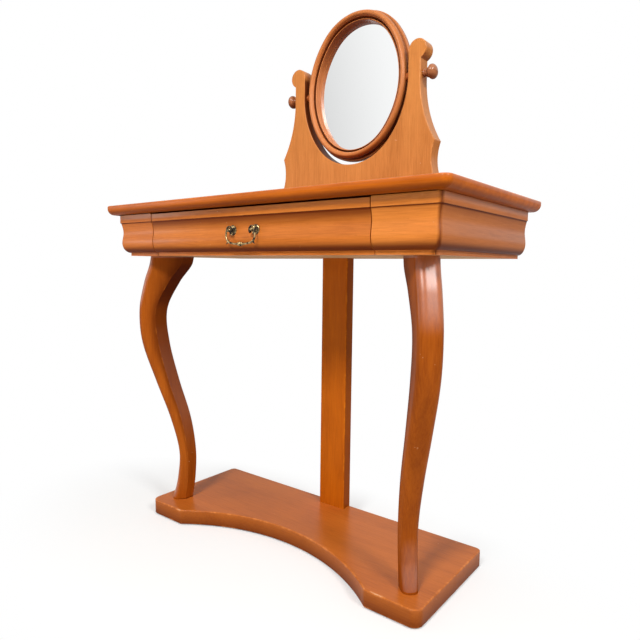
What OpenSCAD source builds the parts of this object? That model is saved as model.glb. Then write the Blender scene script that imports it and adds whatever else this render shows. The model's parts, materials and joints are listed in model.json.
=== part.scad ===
// Dressing table: one drawer, two S-shaped front legs and a rear post on a cut plinth,
// and an oval mirror that swings between the arms of a shaped support.
// Millimetres. X runs along the front, the front faces -Y, Z is up, the floor is at Z = 0,
// and the origin is under the middle of the tabletop.

/* [Tabletop] */
// Width of the tabletop
top_w = 900; // [880:10:960]
// Depth of the tabletop
top_d = 440; // [430:5:470]
// Thickness of the tabletop
top_t = 22; // [22:1:26]
// Height of the tabletop's upper face above the floor
table_h = 780; // [740:10:800]
// How far the moulded edge of the tabletop runs inwards
edge_depth = 16; // [12:1:18]
// Radius of the small round along the tabletop's upper arris
edge_arris = 3.5; // [2:0.5:4]
// Overhang of the tabletop past the frieze in front
overhang_front = 24; // [18:1:26]
// Overhang of the tabletop past the frieze at each side
overhang_side = 21; // [18:1:26]
// Overhang of the tabletop past the frieze behind
overhang_back = 14; // [8:1:20]

/* [Frieze] */
// Height of the frieze under the tabletop
frieze_h = 97; // [92:1:110]
// Height of the plain band under the tabletop
band_h = 19; // [14:1:22]
// Height of the plain fillet at the bottom of the frieze
fillet_h = 7; // [5:1:9]
// How far the bottom fillet stands behind the band
fillet_inset = 17.5; // [12:0.5:20]
// Step from the band back to the hollow
quirk = 1.5; // [1:0.5:3]
// Deepest point of the hollow behind the band
hollow_inset = 5; // [3:0.5:8]
// Fullest point of the belly behind the band
belly_inset = 2.6; // [1:0.2:4]
// Height of the hollow's deepest point above the bottom of the frieze
hollow_z = 55; // [50:1:60]
// Height of the belly's fullest point above the bottom of the frieze
belly_z = 31; // [26:1:36]
// Radius that rounds the front corners of the frieze
corner_r = 8; // [5:1:12]
// Thickness of the front of the frieze, from the band to the case
front_t = 36; // [32:1:40]
// Thickness of the side rails
side_t = 26; // [24:1:30]
// Thickness of the back rail
back_t = 16; // [12:1:18]
// Thickness of the bottom panel
bottom_t = 9; // [6:1:12]

/* [Drawer] */
// Width of the frieze block at each end of the drawer, up to the band's corner
block_w = 129; // [120:1:140]
// Gap between the drawer front and the frieze block at each end
front_gap = 1.5; // [1:0.5:4]
// Gap between the drawer front and the tabletop
top_gap = 2; // [1:0.5:3]
// Room between the drawer's back and the rear post
drawer_room = 12; // [10:1:40]
// Height of the drawer sides
drawer_h = 70; // [60:1:72]
// Thickness of the drawer sides and back
drawer_t = 12; // [10:1:14]
// Thickness of the drawer's plywood bottom
ply_t = 4; // [3:0.5:5]
// Depth of the groove that holds the plywood
groove_d = 5; // [4:0.5:6]
// Height of the plywood above the lower edge of the drawer sides
groove_z = 5; // [4:0.5:8]
// Clearance between a drawer side and its guide
slide_gap = 3; // [2:0.5:4]
// Height of the runners
runner_h = 8; // [6:1:10]
// Width of the runners
runner_w = 24; // [20:1:30]
// Thickness of the drawer guides
guide_t = 12; // [10:1:14]
// Width of the kickers above the drawer sides
kicker_w = 15; // [15:1:18]
// Clearance between the drawer sides and the kickers
kicker_gap = 2; // [1:0.5:3]
// Length of the drawer sides that stays in the case when the drawer is open
drawer_hold = 42; // [36:1:80]

/* [Handle] */
// Distance between the two handle posts
handle_cc = 64; // [56:2:80]
// Height of the handle posts above the bottom of the frieze
handle_z = 50; // [48:1:54]
// Diameter of the handle rosettes
rosette_d = 21; // [18:1:24]
// Thickness of the handle rosettes
rosette_t = 3; // [2:0.5:4]
// Distance from the rosette's seat to the pivot of the bail
bail_out = 12; // [12:0.5:15]
// Drop of the bail's grip below its pivot
bail_drop = 28; // [26:1:30]
// Radius of the bail's rod
bail_r = 2; // [1.6:0.1:2.4]
// Radius of the scrolls that curl round the posts' eyes, to the middle of the rod
scroll_r = 7; // [6.6:0.1:7.4]
// Radius of the bail's pivot pins
bail_pin_r = 1.5; // [1.2:0.1:1.8]

/* [Legs] */
// Distance from the side of the frieze to the middle of the foot
leg_inset_x = 102; // [98:1:106]
// Distance from the front of the frieze to the middle of the foot
leg_inset_y = 112; // [108:1:120]
// How far the knee stands out from the middle of the foot
knee_reach = 106; // [96:1:110]
// Thickness of the leg at the foot
foot_t = 32; // [30:1:36]
// Thickness of the leg at the knee
knee_t = 46; // [42:1:50]
// Radius that rounds the front of the leg at the foot
foot_round = 9; // [7:0.5:12]
// Radius that rounds the front of the leg at the knee
knee_round = 15; // [12:0.5:18]

/* [Plinth] */
// Distance from the side of the tabletop to the side of the plinth
plinth_inset = 66; // [40:2:80]
// Depth of the plinth
plinth_d = 288; // [275:1:310]
// Thickness of the plinth
plinth_t = 35; // [30:1:40]
// Distance from the rear of the tabletop to the rear of the plinth
plinth_back = 78; // [70:1:86]
// Half width of the arc cut out of the plinth's front
arc_half = 270; // [240:5:280]
// Depth of the arc cut out of the plinth's front
arc_depth = 93; // [70:1:100]
// Radius of the plinth's front corners
plinth_front_r = 20; // [10:1:30]
// Radius of the plinth's rear corners
plinth_rear_r = 12; // [6:1:20]
// Thickness of the glides under the plinth
glide_t = 3; // [2:0.5:5]
// Diameter of the glides
glide_d = 30; // [24:1:36]

/* [Rear post] */
// Width of the rear post
post_w = 75; // [60:1:90]
// Thickness of the rear post
post_t = 28; // [22:1:30]

/* [Mirror support] */
// Thickness of the mirror support
support_t = 34; // [28:1:38]
// Distance from the rear of the tabletop to the back of the mirror support
support_back = 8; // [4:1:14]
// Half width of the support on the tabletop
support_half = 248; // [238:1:258]
// Half width of the support at its arms
arm_half = 184; // [182:1:190]
// Half width of the support at its side points
cusp_half = 224; // [218:1:230]
// Height of the side points above the tabletop
cusp_z = 147; // [137:1:157]
// Height of the foot block of the support
support_foot = 30; // [24:1:40]
// Radius of the coves under the side points
cove_r = 115; // [90:5:160]
// Radius of the rounded tops of the arms
ear_r = 22.5; // [18:0.5:24]
// Height of the centre of the rounded tops above the tabletop
ear_z = 351.5; // [348:0.5:358]

/* [Mirror] */
// Height of the mirror's pivot above the tabletop
pivot_z = 300; // [292:1:310]
// Half width of the mirror frame
mirror_a = 148; // [144:1:150]
// Half height of the mirror frame
mirror_b = 181; // [172:1:184]
// Radius of the tighter curve at the top and bottom of the frame
mirror_tip_r = 130; // [122:1:134]
// Height of the middle of the mirror above its pivot
mirror_rise = 5; // [0:1:8]
// Width of the frame's moulding
frame_w = 31; // [29:0.5:33]
// Depth of the frame behind its pivot line
frame_back = 18; // [16:0.5:18.5]
// Depth of the rebate behind the glass
lip_back = 10; // [8:0.5:11]
// Gap between the side of the mirror frame and its support
mirror_gap = 5; // [4:0.5:8]
// Thickness of the glass
glass_t = 4; // [3:0.5:5]
// Thickness of the backing board
backing_t = 3; // [2:0.5:4]
// How far the top of the mirror leans back, in degrees
mirror_lean = 2; // [0:0.5:2]
// Radius of the pivot rods
rod_r = 4; // [3:0.5:5]
// Diameter of the knobs
knob_d = 33; // [28:1:36]

/* [Hidden] */
$fn = 64;

wood = [0.70, 0.35, 0.13];
wood_dark = [0.56, 0.27, 0.10];
wood_inner = [0.80, 0.66, 0.46];
old_brass = [0.45, 0.37, 0.20];
steel = [0.62, 0.63, 0.64];
silvered = [0.85, 0.88, 0.90];
felt = [0.16, 0.12, 0.10];

far = 1000;
eps = 0.01;

// Heights of the case
top_z0 = table_h - top_t;
frieze_z0 = top_z0 - frieze_h;
case_floor = frieze_z0 + bottom_t;
plinth_top = glide_t + plinth_t;

// Plan of the frieze: band planes, and the case behind them
band_x = top_w / 2 - overhang_side;
band_y = -top_d / 2 + overhang_front;
case_y0 = band_y + front_t;
case_x = band_x - side_t;
frieze_back = top_d / 2 - overhang_back;
case_y1 = frieze_back - back_t;
block_x = band_x - block_w;
guide_x = block_x + guide_t;

// Plan of the plinth; the rear post is flush with its rear
plinth_w = top_w - 2 * plinth_inset;
plinth_y1 = top_d / 2 - plinth_back;
plinth_y0 = plinth_y1 - plinth_d;

// Drawer, measured from the case
side_x = block_x - slide_gap;
drawer_z0 = case_floor + runner_h;
drawer_z1 = drawer_z0 + drawer_h;
drawer_y1 = plinth_y1 - post_t - drawer_room;
drawer_l = drawer_y1 - case_y0;
drawer_travel = drawer_l - drawer_hold;
ply_z = drawer_z0 + groove_z;
inner_x = side_x - drawer_t;

// Handle
seat_y = band_y + hollow_inset + 0.4;
bail_y = seat_y - bail_out;
bail_z = frieze_z0 + handle_z;
bail_half = handle_cc / 2 + scroll_r;
pin_clear = 0.1;
eye_r = 4.4;
stem_r = 2.6;
handle_screw_r = 1.5;
screw_r = 2;

// Legs: each stands in a plane turned 45 degrees towards its front corner
leg_x = band_x - leg_inset_x;
leg_y = band_y + leg_inset_y;
leg_len = frieze_z0 - plinth_top;
leg_turn = 45;
// Stations up the leg: share of its height, share of the knee's reach in front, distance behind the foot
leg_stations = [
  [0.000, 0.29, -2], [0.090, 0.17, -8], [0.200, 0.13, -8], [0.340, 0.32, 6], [0.500, 0.65, 36],
  [0.660, 0.95, 60], [0.790, 1.00, 64], [0.900, 0.88, 32], [0.965, 0.76, 3], [1.000, 0.72, -3]
];
leg_rings = 32;
round_steps = 5;
ridge_share = 1.1;
leg_bolt_r = 4;
leg_bolt_deep = 45;
leg_bolt_places = [15, 50];
foot_screw_places = [-1, 14];
foot_screw_r = 2.5;
foot_screw_l = 60;
block_h = 36;
leg_block_back = 30;
post_block_w = 120;
post_block_front = 6;
post_block_back = 10;
cleat = 18;
cleat_back = 40;
cleat_screw_l = 32;
stop_d = 20;
stop_rise = 12;
catch_w = 50;
catch_d = 14;
catch_drop = 8;
catch_gap = 1;
thread_clear = 0.1;

// Plinth
arc_r = (arc_half * arc_half + arc_depth * arc_depth) / (2 * arc_depth);
post_screw_places = [-20, 20];
glide_side = 65;
glide_front = 30;
glide_rear = 38;
post_y = plinth_y1 - post_t / 2;

// Mirror: a four-centred oval, with wide arcs at the sides and tight arcs at the ends
mirror_side_r = (pow(mirror_a, 2) + pow(mirror_b - mirror_tip_r, 2) - pow(mirror_tip_r, 2))
  / (2 * (mirror_a - mirror_tip_r));
side_centre = mirror_side_r - mirror_a;
tip_centre = mirror_b - mirror_tip_r;
join_angle = atan2(tip_centre, side_centre);
support_y = top_d / 2 - support_back - support_t / 2;
mirror_z = table_h + pivot_z;
rebate_w = 22;
sight_clear = 1;
insert_r = 6;
insert_l = 11;
spacer_r = 9;
seat_room = 0.3;
spacer_seat = 5.5;
running = 0.05;
body_gap = 0.5;
spacer_l = mirror_gap + spacer_seat - 2 * body_gap;
neck_z = pivot_z - 10;
flank_r = (pow(cusp_half - arm_half, 2) + pow(neck_z - cusp_z, 2)) / (2 * (cusp_half - arm_half));
support_screw_places = [-180, -60, 60, 180];
support_screw_r = 3;
support_screw_deep = 40;
head_sink = 5;

// A point on a smooth curve through the listed values, in the way of Catmull and Rom
function along(stations, column, t) =
  let (n = len(stations))
  let (i = max([for (k = [0 : n - 2]) stations[k][0] <= t ? k : 0]))
  let (p1 = stations[i], p2 = stations[i + 1])
  let (p0 = i > 0 ? stations[i - 1] : p1, p3 = i < n - 2 ? stations[i + 2] : p2)
  let (h = p2[0] - p1[0], u = (t - p1[0]) / h)
  let (m1 = (p2[column] - p0[column]) / (p2[0] - p0[0]) * h)
  let (m2 = (p3[column] - p1[column]) / (p3[0] - p1[0]) * h)
  (2 * pow(u, 3) - 3 * pow(u, 2) + 1) * p1[column] + (pow(u, 3) - 2 * pow(u, 2) + u) * m1
  + (3 * pow(u, 2) - 2 * pow(u, 3)) * p2[column] + (pow(u, 3) - pow(u, 2)) * m2;

// Points of an elliptical arc
function arc_points(centre, radii, from, to, steps) =
  [for (i = [0 : steps]) let (a = from + (to - from) * i / steps)
    [centre[0] + radii[0] * cos(a), centre[1] + radii[1] * sin(a)]];

// Box between two corners
module block(low, high) {
  translate(low) cube([high[0] - low[0], high[1] - low[1], high[2] - low[2]]);
}

// The child on the right, or its mirror image on the left
module on_side(right) {
  if (right)
    children();
  else
    mirror([1, 0, 0]) children();
}

// Frieze moulding: how far it stands behind the band, at heights above the bottom of the frieze
function frieze_profile() =
  let (steps = 7)
  concat(
    [[0, frieze_h], [0, frieze_h - band_h]],
    [for (i = [0 : steps]) let (u = i / steps)
      [quirk + (hollow_inset - quirk) * sin(90 * u),
        frieze_h - band_h + (hollow_z - frieze_h + band_h) * u]],
    [for (i = [1 : steps]) let (u = i / steps)
      [belly_inset + (hollow_inset - belly_inset) * (1 + cos(180 * u)) / 2,
        hollow_z + (belly_z - hollow_z) * u]],
    [for (i = [1 : steps]) let (u = 90 * i / steps)
      [belly_inset + (fillet_inset - belly_inset) * (1 - cos(u)),
        belly_z + (fillet_h - belly_z) * sin(u)]],
    [[fillet_inset, 0]]
  );

// Everything inside the moulded face whose outward normal is turned by the angle,
// from the right side at 0 to the front at 90, with the corner rounded in between
module inside_moulding(angle) {
  spread = cos(angle) + sin(angle);
  reach = (band_x - corner_r) * cos(angle) + (-band_y - corner_r) * sin(angle) + corner_r;
  face = [for (p = frieze_profile()) [reach - spread * p[0], frieze_z0 + p[1]]];
  rotate([0, 0, -angle]) rotate([90, 0, 0])
    linear_extrude(height = 2 * far, center = true)
      polygon(concat(face, [[-far, frieze_z0], [-far, top_z0]]));
}

// Plan of a frieze piece, cut to the moulded faces it shows
module moulded_piece(plan, angles) {
  intersection() {
    translate([0, 0, frieze_z0]) linear_extrude(height = frieze_h) polygon(plan);
    intersection_for (angle = angles) inside_moulding(angle);
  }
}

// Outline of a board with rounded corners, front radius and rear radius
module rounded_plan(w, y0, y1, front_r, rear_r) {
  union() {
    translate([-w / 2 + front_r, y0]) square([w - 2 * front_r, front_r + eps]);
    translate([-w / 2 + rear_r, y1 - rear_r - eps]) square([w - 2 * rear_r, rear_r + eps]);
    translate([-w / 2, y0 + front_r]) square([w, y1 - y0 - front_r - rear_r]);
    for (s = [-1, 1]) {
      translate([s * (w / 2 - front_r), y0 + front_r]) circle(r = front_r);
      translate([s * (w / 2 - rear_r), y1 - rear_r]) circle(r = rear_r);
    }
  }
}

// Region inside the mirror's oval, grown or shrunk by an offset
module oval(grow) {
  side_r = mirror_side_r + grow;
  tip_r = mirror_tip_r + grow;
  join_z = tip_centre + tip_r * sin(join_angle);
  union() {
    for (s = [-1, 1]) translate([0, s * tip_centre]) circle(r = tip_r);
    intersection() {
      translate([-side_centre, 0]) circle(r = side_r);
      translate([side_centre, 0]) circle(r = side_r);
      square([4 * mirror_b, 2 * join_z], center = true);
    }
  }
}

// A flat plate in the mirror's plane, from one depth to another in front of the pivot line
module mirror_plate(depth0, depth1) {
  translate([0, support_y, mirror_z + mirror_rise]) rotate([90, 0, 0])
    translate([0, 0, depth0]) linear_extrude(height = depth1 - depth0) children();
}

// The child, turned about the pivot line to the way the mirror leans
module leaning() {
  translate([0, support_y, mirror_z]) rotate([-mirror_lean, 0, 0])
    translate([0, -support_y, -mirror_z]) children();
}

// The child, drawn along +Z, laid along +X on the pivot line from the given place
module along_pivot(x) {
  translate([x, support_y, mirror_z]) rotate([0, 90, 0]) children();
}

// Countersunk screw standing on its head at Z = 0
module countersunk(r, l, head) {
  union() {
    cylinder(r1 = head, r2 = r, h = head - r);
    translate([0, 0, head - r - eps]) cylinder(r = r, h = l - head + r + eps);
  }
}

// Place on the leg's line, measured from the middle of the foot towards the front corner
function leg_place(s) = [leg_x + s * cos(leg_turn), leg_y - s * sin(leg_turn)];

module glides() {
  side = plinth_w / 2 - glide_side;
  front = plinth_y0 + glide_front;
  rear = plinth_y1 - glide_rear;
  color(felt) for (p = [[-side, front], [side, front], [-side, rear], [side, rear], [0, rear]])
    translate([p[0], p[1], 0]) cylinder(d = glide_d, h = glide_t);
}

module plinth() {
  color(wood) difference() {
    translate([0, 0, glide_t]) linear_extrude(height = plinth_t) difference() {
      rounded_plan(plinth_w, plinth_y0, plinth_y1, plinth_front_r, plinth_rear_r);
      translate([0, plinth_y0 + arc_depth - arc_r]) circle(r = arc_r, $fn = 180);
    }
    plinth_screw_set(thread_clear);
  }
}

// Screws up through the plinth into the legs and the rear post
module plinth_screw_set(clear) {
  head = 2 * foot_screw_r;
  for (right = [false, true]) on_side(right) for (s = foot_screw_places)
    translate([leg_place(s)[0], leg_place(s)[1], glide_t])
      countersunk(foot_screw_r + clear, foot_screw_l + clear, head + clear);
  for (x = post_screw_places) translate([x, post_y, glide_t])
    countersunk(foot_screw_r + clear, foot_screw_l + clear, head + clear);
}

module plinth_screws() {
  color(steel) plinth_screw_set(0);
}

// One level of the leg: a ridge behind, flat sides and a rounded front.
// Each point is [distance towards the corner, distance across].
function leg_section(share) =
  let (front = knee_reach * along(leg_stations, 1, share))
  let (back = along(leg_stations, 2, share))
  let (grow = sin(90 * min(1, share / 0.75)))
  let (half = (foot_t + (knee_t - foot_t) * grow) / 2)
  let (r = foot_round + (knee_round - foot_round) * grow)
  concat(
    [[back - ridge_share * half, 0], [back, -half]],
    arc_points([front - r, -half + r], [r, r], -90, 0, round_steps),
    arc_points([front - r, half - r], [r, r], 0, 90, round_steps),
    [[back, half]]
  );

// Right leg, lofted level by level, turned towards its corner and set on the plinth
module leg_blank() {
  levels = [for (i = [0 : leg_rings]) leg_section(i / leg_rings)];
  m = len(levels[0]);
  points = [for (i = [0 : leg_rings]) for (p = levels[i]) [p[0], p[1], leg_len * i / leg_rings]];
  sides = [for (i = [0 : leg_rings - 1]) for (j = [0 : m - 1])
    let (a = i * m + j, b = i * m + (j + 1) % m)
    each [[a, b + m, b], [a, a + m, b + m]]];
  ends = [[for (j = [0 : m - 1]) j], [for (j = [m - 1 : -1 : 0]) leg_rings * m + j]];
  translate([leg_x, leg_y, plinth_top]) rotate([0, 0, -leg_turn])
    polyhedron(points = points, faces = concat(sides, ends));
}

module leg(right) {
  color(wood) difference() {
    on_side(right) leg_blank();
    on_side(right) {
      for (s = foot_screw_places) translate([leg_place(s)[0], leg_place(s)[1], glide_t])
        cylinder(r = foot_screw_r + thread_clear, h = foot_screw_l + thread_clear);
      for (s = leg_bolt_places)
        translate([leg_place(s)[0], leg_place(s)[1], frieze_z0 - leg_bolt_deep])
          cylinder(r = leg_bolt_r + thread_clear, h = leg_bolt_deep + eps);
    }
  }
}

module leg_left() {
  leg(false);
}

module leg_right() {
  leg(true);
}

module rear_post() {
  arris = 2;
  color(wood) difference() {
    translate([0, 0, plinth_top]) linear_extrude(height = leg_len)
      rounded_plan(post_w, plinth_y1 - post_t, plinth_y1, arris, arris);
    for (x = post_screw_places) translate([x, post_y, 0]) {
      translate([0, 0, glide_t])
        cylinder(r = foot_screw_r + thread_clear, h = foot_screw_l + thread_clear);
      translate([0, 0, frieze_z0 - leg_bolt_deep])
        cylinder(r = leg_bolt_r + thread_clear, h = leg_bolt_deep + eps);
    }
  }
}

// Bolts down through the blocks and the bottom panel into the legs and the rear post
module leg_bolt_set(clear) {
  head_r = 2 * leg_bolt_r;
  spots = concat(
    [for (side = [-1, 1]) for (s = leg_bolt_places) [side * leg_place(s)[0], leg_place(s)[1]]],
    [for (x = post_screw_places) [x, post_y]]
  );
  for (p = spots) translate([p[0], p[1], frieze_z0 - leg_bolt_deep]) {
    cylinder(r = leg_bolt_r + clear, h = leg_bolt_deep + bottom_t + block_h);
    if (clear == 0)
      translate([0, 0, leg_bolt_deep + bottom_t + block_h]) cylinder(r = head_r, h = 5, $fn = 6);
  }
}

module leg_bolts() {
  color(steel) leg_bolt_set(0);
}

module bottom_panel() {
  color(wood_dark) difference() {
    block([-case_x, case_y0, frieze_z0], [case_x, case_y1, case_floor]);
    leg_bolt_set(thread_clear);
  }
}

// Mitre line of the front corners, drawn past the moulding
function mitre_out() = [band_x + side_t, band_y - side_t];
function mitre_in() = [case_x, band_y + side_t];

module frieze_block(right) {
  plan = [
    [block_x, band_y - side_t], mitre_out(), mitre_in(), [case_x, case_y0], [block_x, case_y0]
  ];
  color(wood) on_side(right) moulded_piece(plan, [0, 22.5, 45, 67.5, 90]);
}

module frieze_block_left() {
  frieze_block(false);
}

module frieze_block_right() {
  frieze_block(true);
}

module side_rail(right) {
  plan = [mitre_out(), [band_x + side_t, frieze_back], [case_x, frieze_back], mitre_in()];
  color(wood) on_side(right) moulded_piece(plan, [0, 22.5, 45]);
}

module side_rail_left() {
  side_rail(false);
}

module side_rail_right() {
  side_rail(true);
}

module back_rail() {
  color(wood_dark) block([-case_x, case_y1, frieze_z0], [case_x, frieze_back, top_z0]);
}

module leg_block(right) {
  color(wood_inner) difference() {
    on_side(right)
      block([guide_x, case_y0, case_floor],
        [case_x, leg_y + leg_block_back, case_floor + block_h]);
    leg_bolt_set(thread_clear);
  }
}

module leg_block_left() {
  leg_block(false);
}

module leg_block_right() {
  leg_block(true);
}

module post_block() {
  color(wood_inner) difference() {
    block([-post_block_w / 2, plinth_y1 - post_t - post_block_front, case_floor],
      [post_block_w / 2, plinth_y1 + post_block_back, case_floor + block_h]);
    leg_bolt_set(thread_clear);
  }
}

module drawer_guide(right) {
  color(wood_inner) on_side(right)
    block([block_x, case_y0, case_floor], [guide_x, case_y1, top_z0]);
}

module drawer_guide_left() {
  drawer_guide(false);
}

module drawer_guide_right() {
  drawer_guide(true);
}

module drawer_runner(right) {
  color(wood_inner) on_side(right)
    block([block_x - runner_w, case_y0, case_floor], [block_x, drawer_y1, drawer_z0]);
}

module drawer_runner_left() {
  drawer_runner(false);
}

module drawer_runner_right() {
  drawer_runner(true);
}

module drawer_kicker(right) {
  color(wood_inner) on_side(right)
    block([block_x - kicker_w, case_y0, drawer_z1 + kicker_gap], [block_x, drawer_y1, top_z0]);
}

module drawer_kicker_left() {
  drawer_kicker(false);
}

module drawer_kicker_right() {
  drawer_kicker(true);
}

module drawer_stops() {
  color(wood_inner) for (right = [false, true]) on_side(right)
    block([block_x - runner_w, drawer_y1, case_floor],
      [block_x, drawer_y1 + stop_d, drawer_z0 + stop_rise]);
}

// Turn button under the tabletop that the drawer's back meets when the drawer is open
module drawer_catch() {
  rear = drawer_y1 - drawer_t - drawer_travel - catch_gap;
  color(wood_inner) block([-catch_w / 2, rear - catch_d, drawer_z1 - catch_drop],
    [catch_w / 2, rear, top_z0]);
}

// Cleats along the side rails, screwed up into the tabletop
cleat_y0 = leg_y + cleat_back;
cleat_screw_places = [0.1, 0.5, 0.9];

module top_cleat(right) {
  color(wood_inner) difference() {
    on_side(right) block([case_x - cleat, cleat_y0, top_z0 - cleat], [case_x, case_y1, top_z0]);
    top_screw_set(thread_clear);
  }
}

module top_cleat_left() {
  top_cleat(false);
}

module top_cleat_right() {
  top_cleat(true);
}

module top_screw_set(clear) {
  for (side = [-1, 1]) for (u = cleat_screw_places)
    translate([side * (case_x - cleat / 2), cleat_y0 + u * (case_y1 - cleat_y0), top_z0 - cleat])
      countersunk(screw_r + clear, cleat_screw_l + clear, 2 * screw_r + clear);
}

module top_screws() {
  color(steel) top_screw_set(0);
}

// Section of the tabletop's edge: a small round above and a quarter round below
module edge_section() {
  lower = top_t - 2 * edge_arris;
  polygon(concat(
    [[-eps, 0]],
    arc_points([0, lower], [edge_depth, lower], -90, 0, 9),
    arc_points([edge_depth - edge_arris, top_t - edge_arris], [edge_arris, edge_arris], 0, 90, 4),
    [[-eps, top_t]]
  ));
}

module tabletop() {
  corner_x = top_w / 2 - edge_depth;
  corner_y = -top_d / 2 + edge_depth;
  color(wood) difference() {
    translate([0, 0, top_z0]) union() {
      block([-corner_x, corner_y, 0], [corner_x, top_d / 2, top_t]);
      translate([-corner_x, corner_y, 0]) rotate([90, 0, 90]) mirror([1, 0, 0])
        linear_extrude(height = 2 * corner_x) edge_section();
      for (right = [false, true]) on_side(right) {
        translate([corner_x, top_d / 2, 0]) rotate([90, 0, 0])
          linear_extrude(height = top_d - edge_depth) edge_section();
        translate([corner_x, corner_y, 0]) rotate([0, 0, -90]) rotate_extrude(angle = 90)
          intersection() {
            edge_section();
            square([edge_depth, top_t]);
          }
      }
    }
    top_screw_set(thread_clear);
    support_screw_set(thread_clear);
  }
}

// Screws up through the tabletop into the mirror support, with sunk heads
module support_screw_set(clear) {
  for (x = support_screw_places) translate([x, support_y, top_z0]) {
    cylinder(r = support_screw_r + clear, h = top_t + support_screw_deep + clear);
    cylinder(r = 2 * support_screw_r + clear, h = head_sink);
  }
}

module support_screws() {
  color(steel) support_screw_set(0);
}

// Outline of the mirror support, with the tabletop at 0 and the front seen flat
module support_outline() {
  chord = [cusp_half - support_half, cusp_z - support_foot];
  bow = sqrt(pow(cove_r, 2) - pow(norm(chord) / 2, 2)) / norm(chord);
  cove = [(support_half + cusp_half) / 2 + bow * chord[1], (support_foot + cusp_z) / 2 - bow * chord[0]];
  throat = pivot_z + 15;
  throat_x = sqrt(pow(mirror_side_r + mirror_gap, 2) - pow(throat - pivot_z, 2)) - side_centre;
  difference() {
    union() {
      difference() {
        translate([-support_half, 0]) square([2 * support_half, ear_z]);
        for (right = [false, true]) mirror([right ? 0 : 1, 0]) {
          translate(cove) circle(r = cove_r, $fn = 120);
          translate([arm_half + flank_r, neck_z]) circle(r = flank_r, $fn = 180);
          translate([arm_half, neck_z]) square(far);
        }
      }
      for (s = [-1, 1]) translate([s * (throat_x + ear_r), ear_z]) circle(r = ear_r);
    }
    translate([0, pivot_z]) oval(mirror_gap);
    translate([-throat_x, throat]) square([2 * throat_x, far]);
  }
}

module mirror_support() {
  color(wood) difference() {
    translate([0, support_y + support_t / 2, table_h]) rotate([90, 0, 0])
      linear_extrude(height = support_t) support_outline();
    support_screw_set(thread_clear);
    along_pivot(-far / 2) cylinder(r = rod_r + running, h = far);
  }
}

module drawer_front() {
  half = block_x - front_gap;
  plan = [[-half, band_y - side_t], [half, band_y - side_t], [half, case_y0], [-half, case_y0]];
  color(wood) difference() {
    moulded_piece(plan, [90]);
    block([-half - 1, band_y - 1, top_z0 - top_gap], [half + 1, case_y0 + 1, top_z0 + 1]);
    block([-inner_x - groove_d, case_y0 - groove_d, ply_z],
      [inner_x + groove_d, case_y0 + 1, ply_z + ply_t]);
    for (s = [-1, 1]) translate([s * handle_cc / 2, 0, bail_z]) rotate([90, 0, 0]) {
      translate([0, 0, -seat_y]) cylinder(d = rosette_d + 0.4, h = 20);
      translate([0, 0, -case_y0 - 1]) cylinder(r = handle_screw_r + thread_clear, h = front_t);
    }
  }
}

module drawer_side(right) {
  color(wood_inner) on_side(right) difference() {
    block([inner_x, case_y0, drawer_z0], [side_x, drawer_y1, drawer_z1]);
    block([inner_x - 1, case_y0 - 1, ply_z], [inner_x + groove_d, drawer_y1 + 1, ply_z + ply_t]);
  }
}

module drawer_side_left() {
  drawer_side(false);
}

module drawer_side_right() {
  drawer_side(true);
}

module drawer_back() {
  color(wood_inner)
    block([-inner_x, drawer_y1 - drawer_t, ply_z + ply_t], [inner_x, drawer_y1, drawer_z1]);
}

module drawer_bottom() {
  slack = 0.5;
  color(wood_inner) block(
    [-inner_x - groove_d + slack, case_y0 - groove_d + slack, ply_z],
    [inner_x + groove_d - slack, drawer_y1, ply_z + ply_t]
  );
}

// Rosette and post, turned about the line that points out of the drawer front
module handle_post(right) {
  rim = 2;
  color(old_brass) on_side(right)
    translate([handle_cc / 2, seat_y, bail_z]) rotate([90, 0, 0]) difference() {
      union() {
        rotate_extrude() polygon(concat(
          [[0, 0], [rosette_d / 2, 0]],
          arc_points([rosette_d / 2 - rim, rosette_t / 2], [rim, rosette_t / 2], -45, 90, 5),
          [[rosette_d / 2 - 2 * rim, rosette_t - 0.8], [stem_r + rim, rosette_t - 0.8],
            [stem_r, rosette_t + 1], [stem_r, bail_out], [0, bail_out]]
        ));
        translate([0, 0, bail_out]) sphere(r = eye_r, $fn = 48);
      }
      translate([0, 0, -1])
        cylinder(r = handle_screw_r + thread_clear, h = bail_out - eye_r + 1);
      translate([0, 0, bail_out]) rotate([0, 90, 0])
        cylinder(r = bail_pin_r + pin_clear, h = 4 * eye_r, center = true);
    }
}

module handle_post_left() {
  handle_post(false);
}

module handle_post_right() {
  handle_post(true);
}

// Machine screws from inside the drawer into the handle posts
module handle_screws() {
  grip = case_y0 - seat_y;
  head_h = 2.5;
  bite = 6;
  color(steel) for (s = [-1, 1])
    translate([s * handle_cc / 2, case_y0, bail_z]) rotate([90, 0, 0]) {
      translate([0, 0, -head_h]) cylinder(r = 2.4 * handle_screw_r, h = head_h);
      cylinder(r = handle_screw_r, h = grip + bite);
    }
}

// Half of the bail's line, from a scroll to the middle of the grip: shares of its half width,
// of its drop and of the rod's radius
bail_line = [
  [1.00, 0.00, 0.80], [1.03, 0.25, 0.90], [1.03, 0.50, 1.00], [0.93, 0.75, 1.05],
  [0.72, 0.91, 1.00], [0.40, 0.98, 0.95], [0.00, 1.00, 1.10]
];
function bail_station(k) =
  let (n = len(bail_line) - 1)
  let (p = bail_line[n - abs(n - k)])
  [k, (k > n ? -1 : 1) * p[0] * bail_half, -p[1] * bail_drop, p[2] * bail_r];

// Scroll from its free end, round the post's eye, to the top of the right arm: distance across,
// height and radius of the rod
scroll_curl = 235;
scroll_rings = 12;
function scroll_points() =
  [for (i = [0 : scroll_rings - 1]) let (left = 1 - i / scroll_rings)
    [handle_cc / 2 + scroll_r * cos(scroll_curl * left), scroll_r * sin(scroll_curl * left),
      bail_r * (0.8 + 0.5 * pow(left, 4))]];

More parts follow.
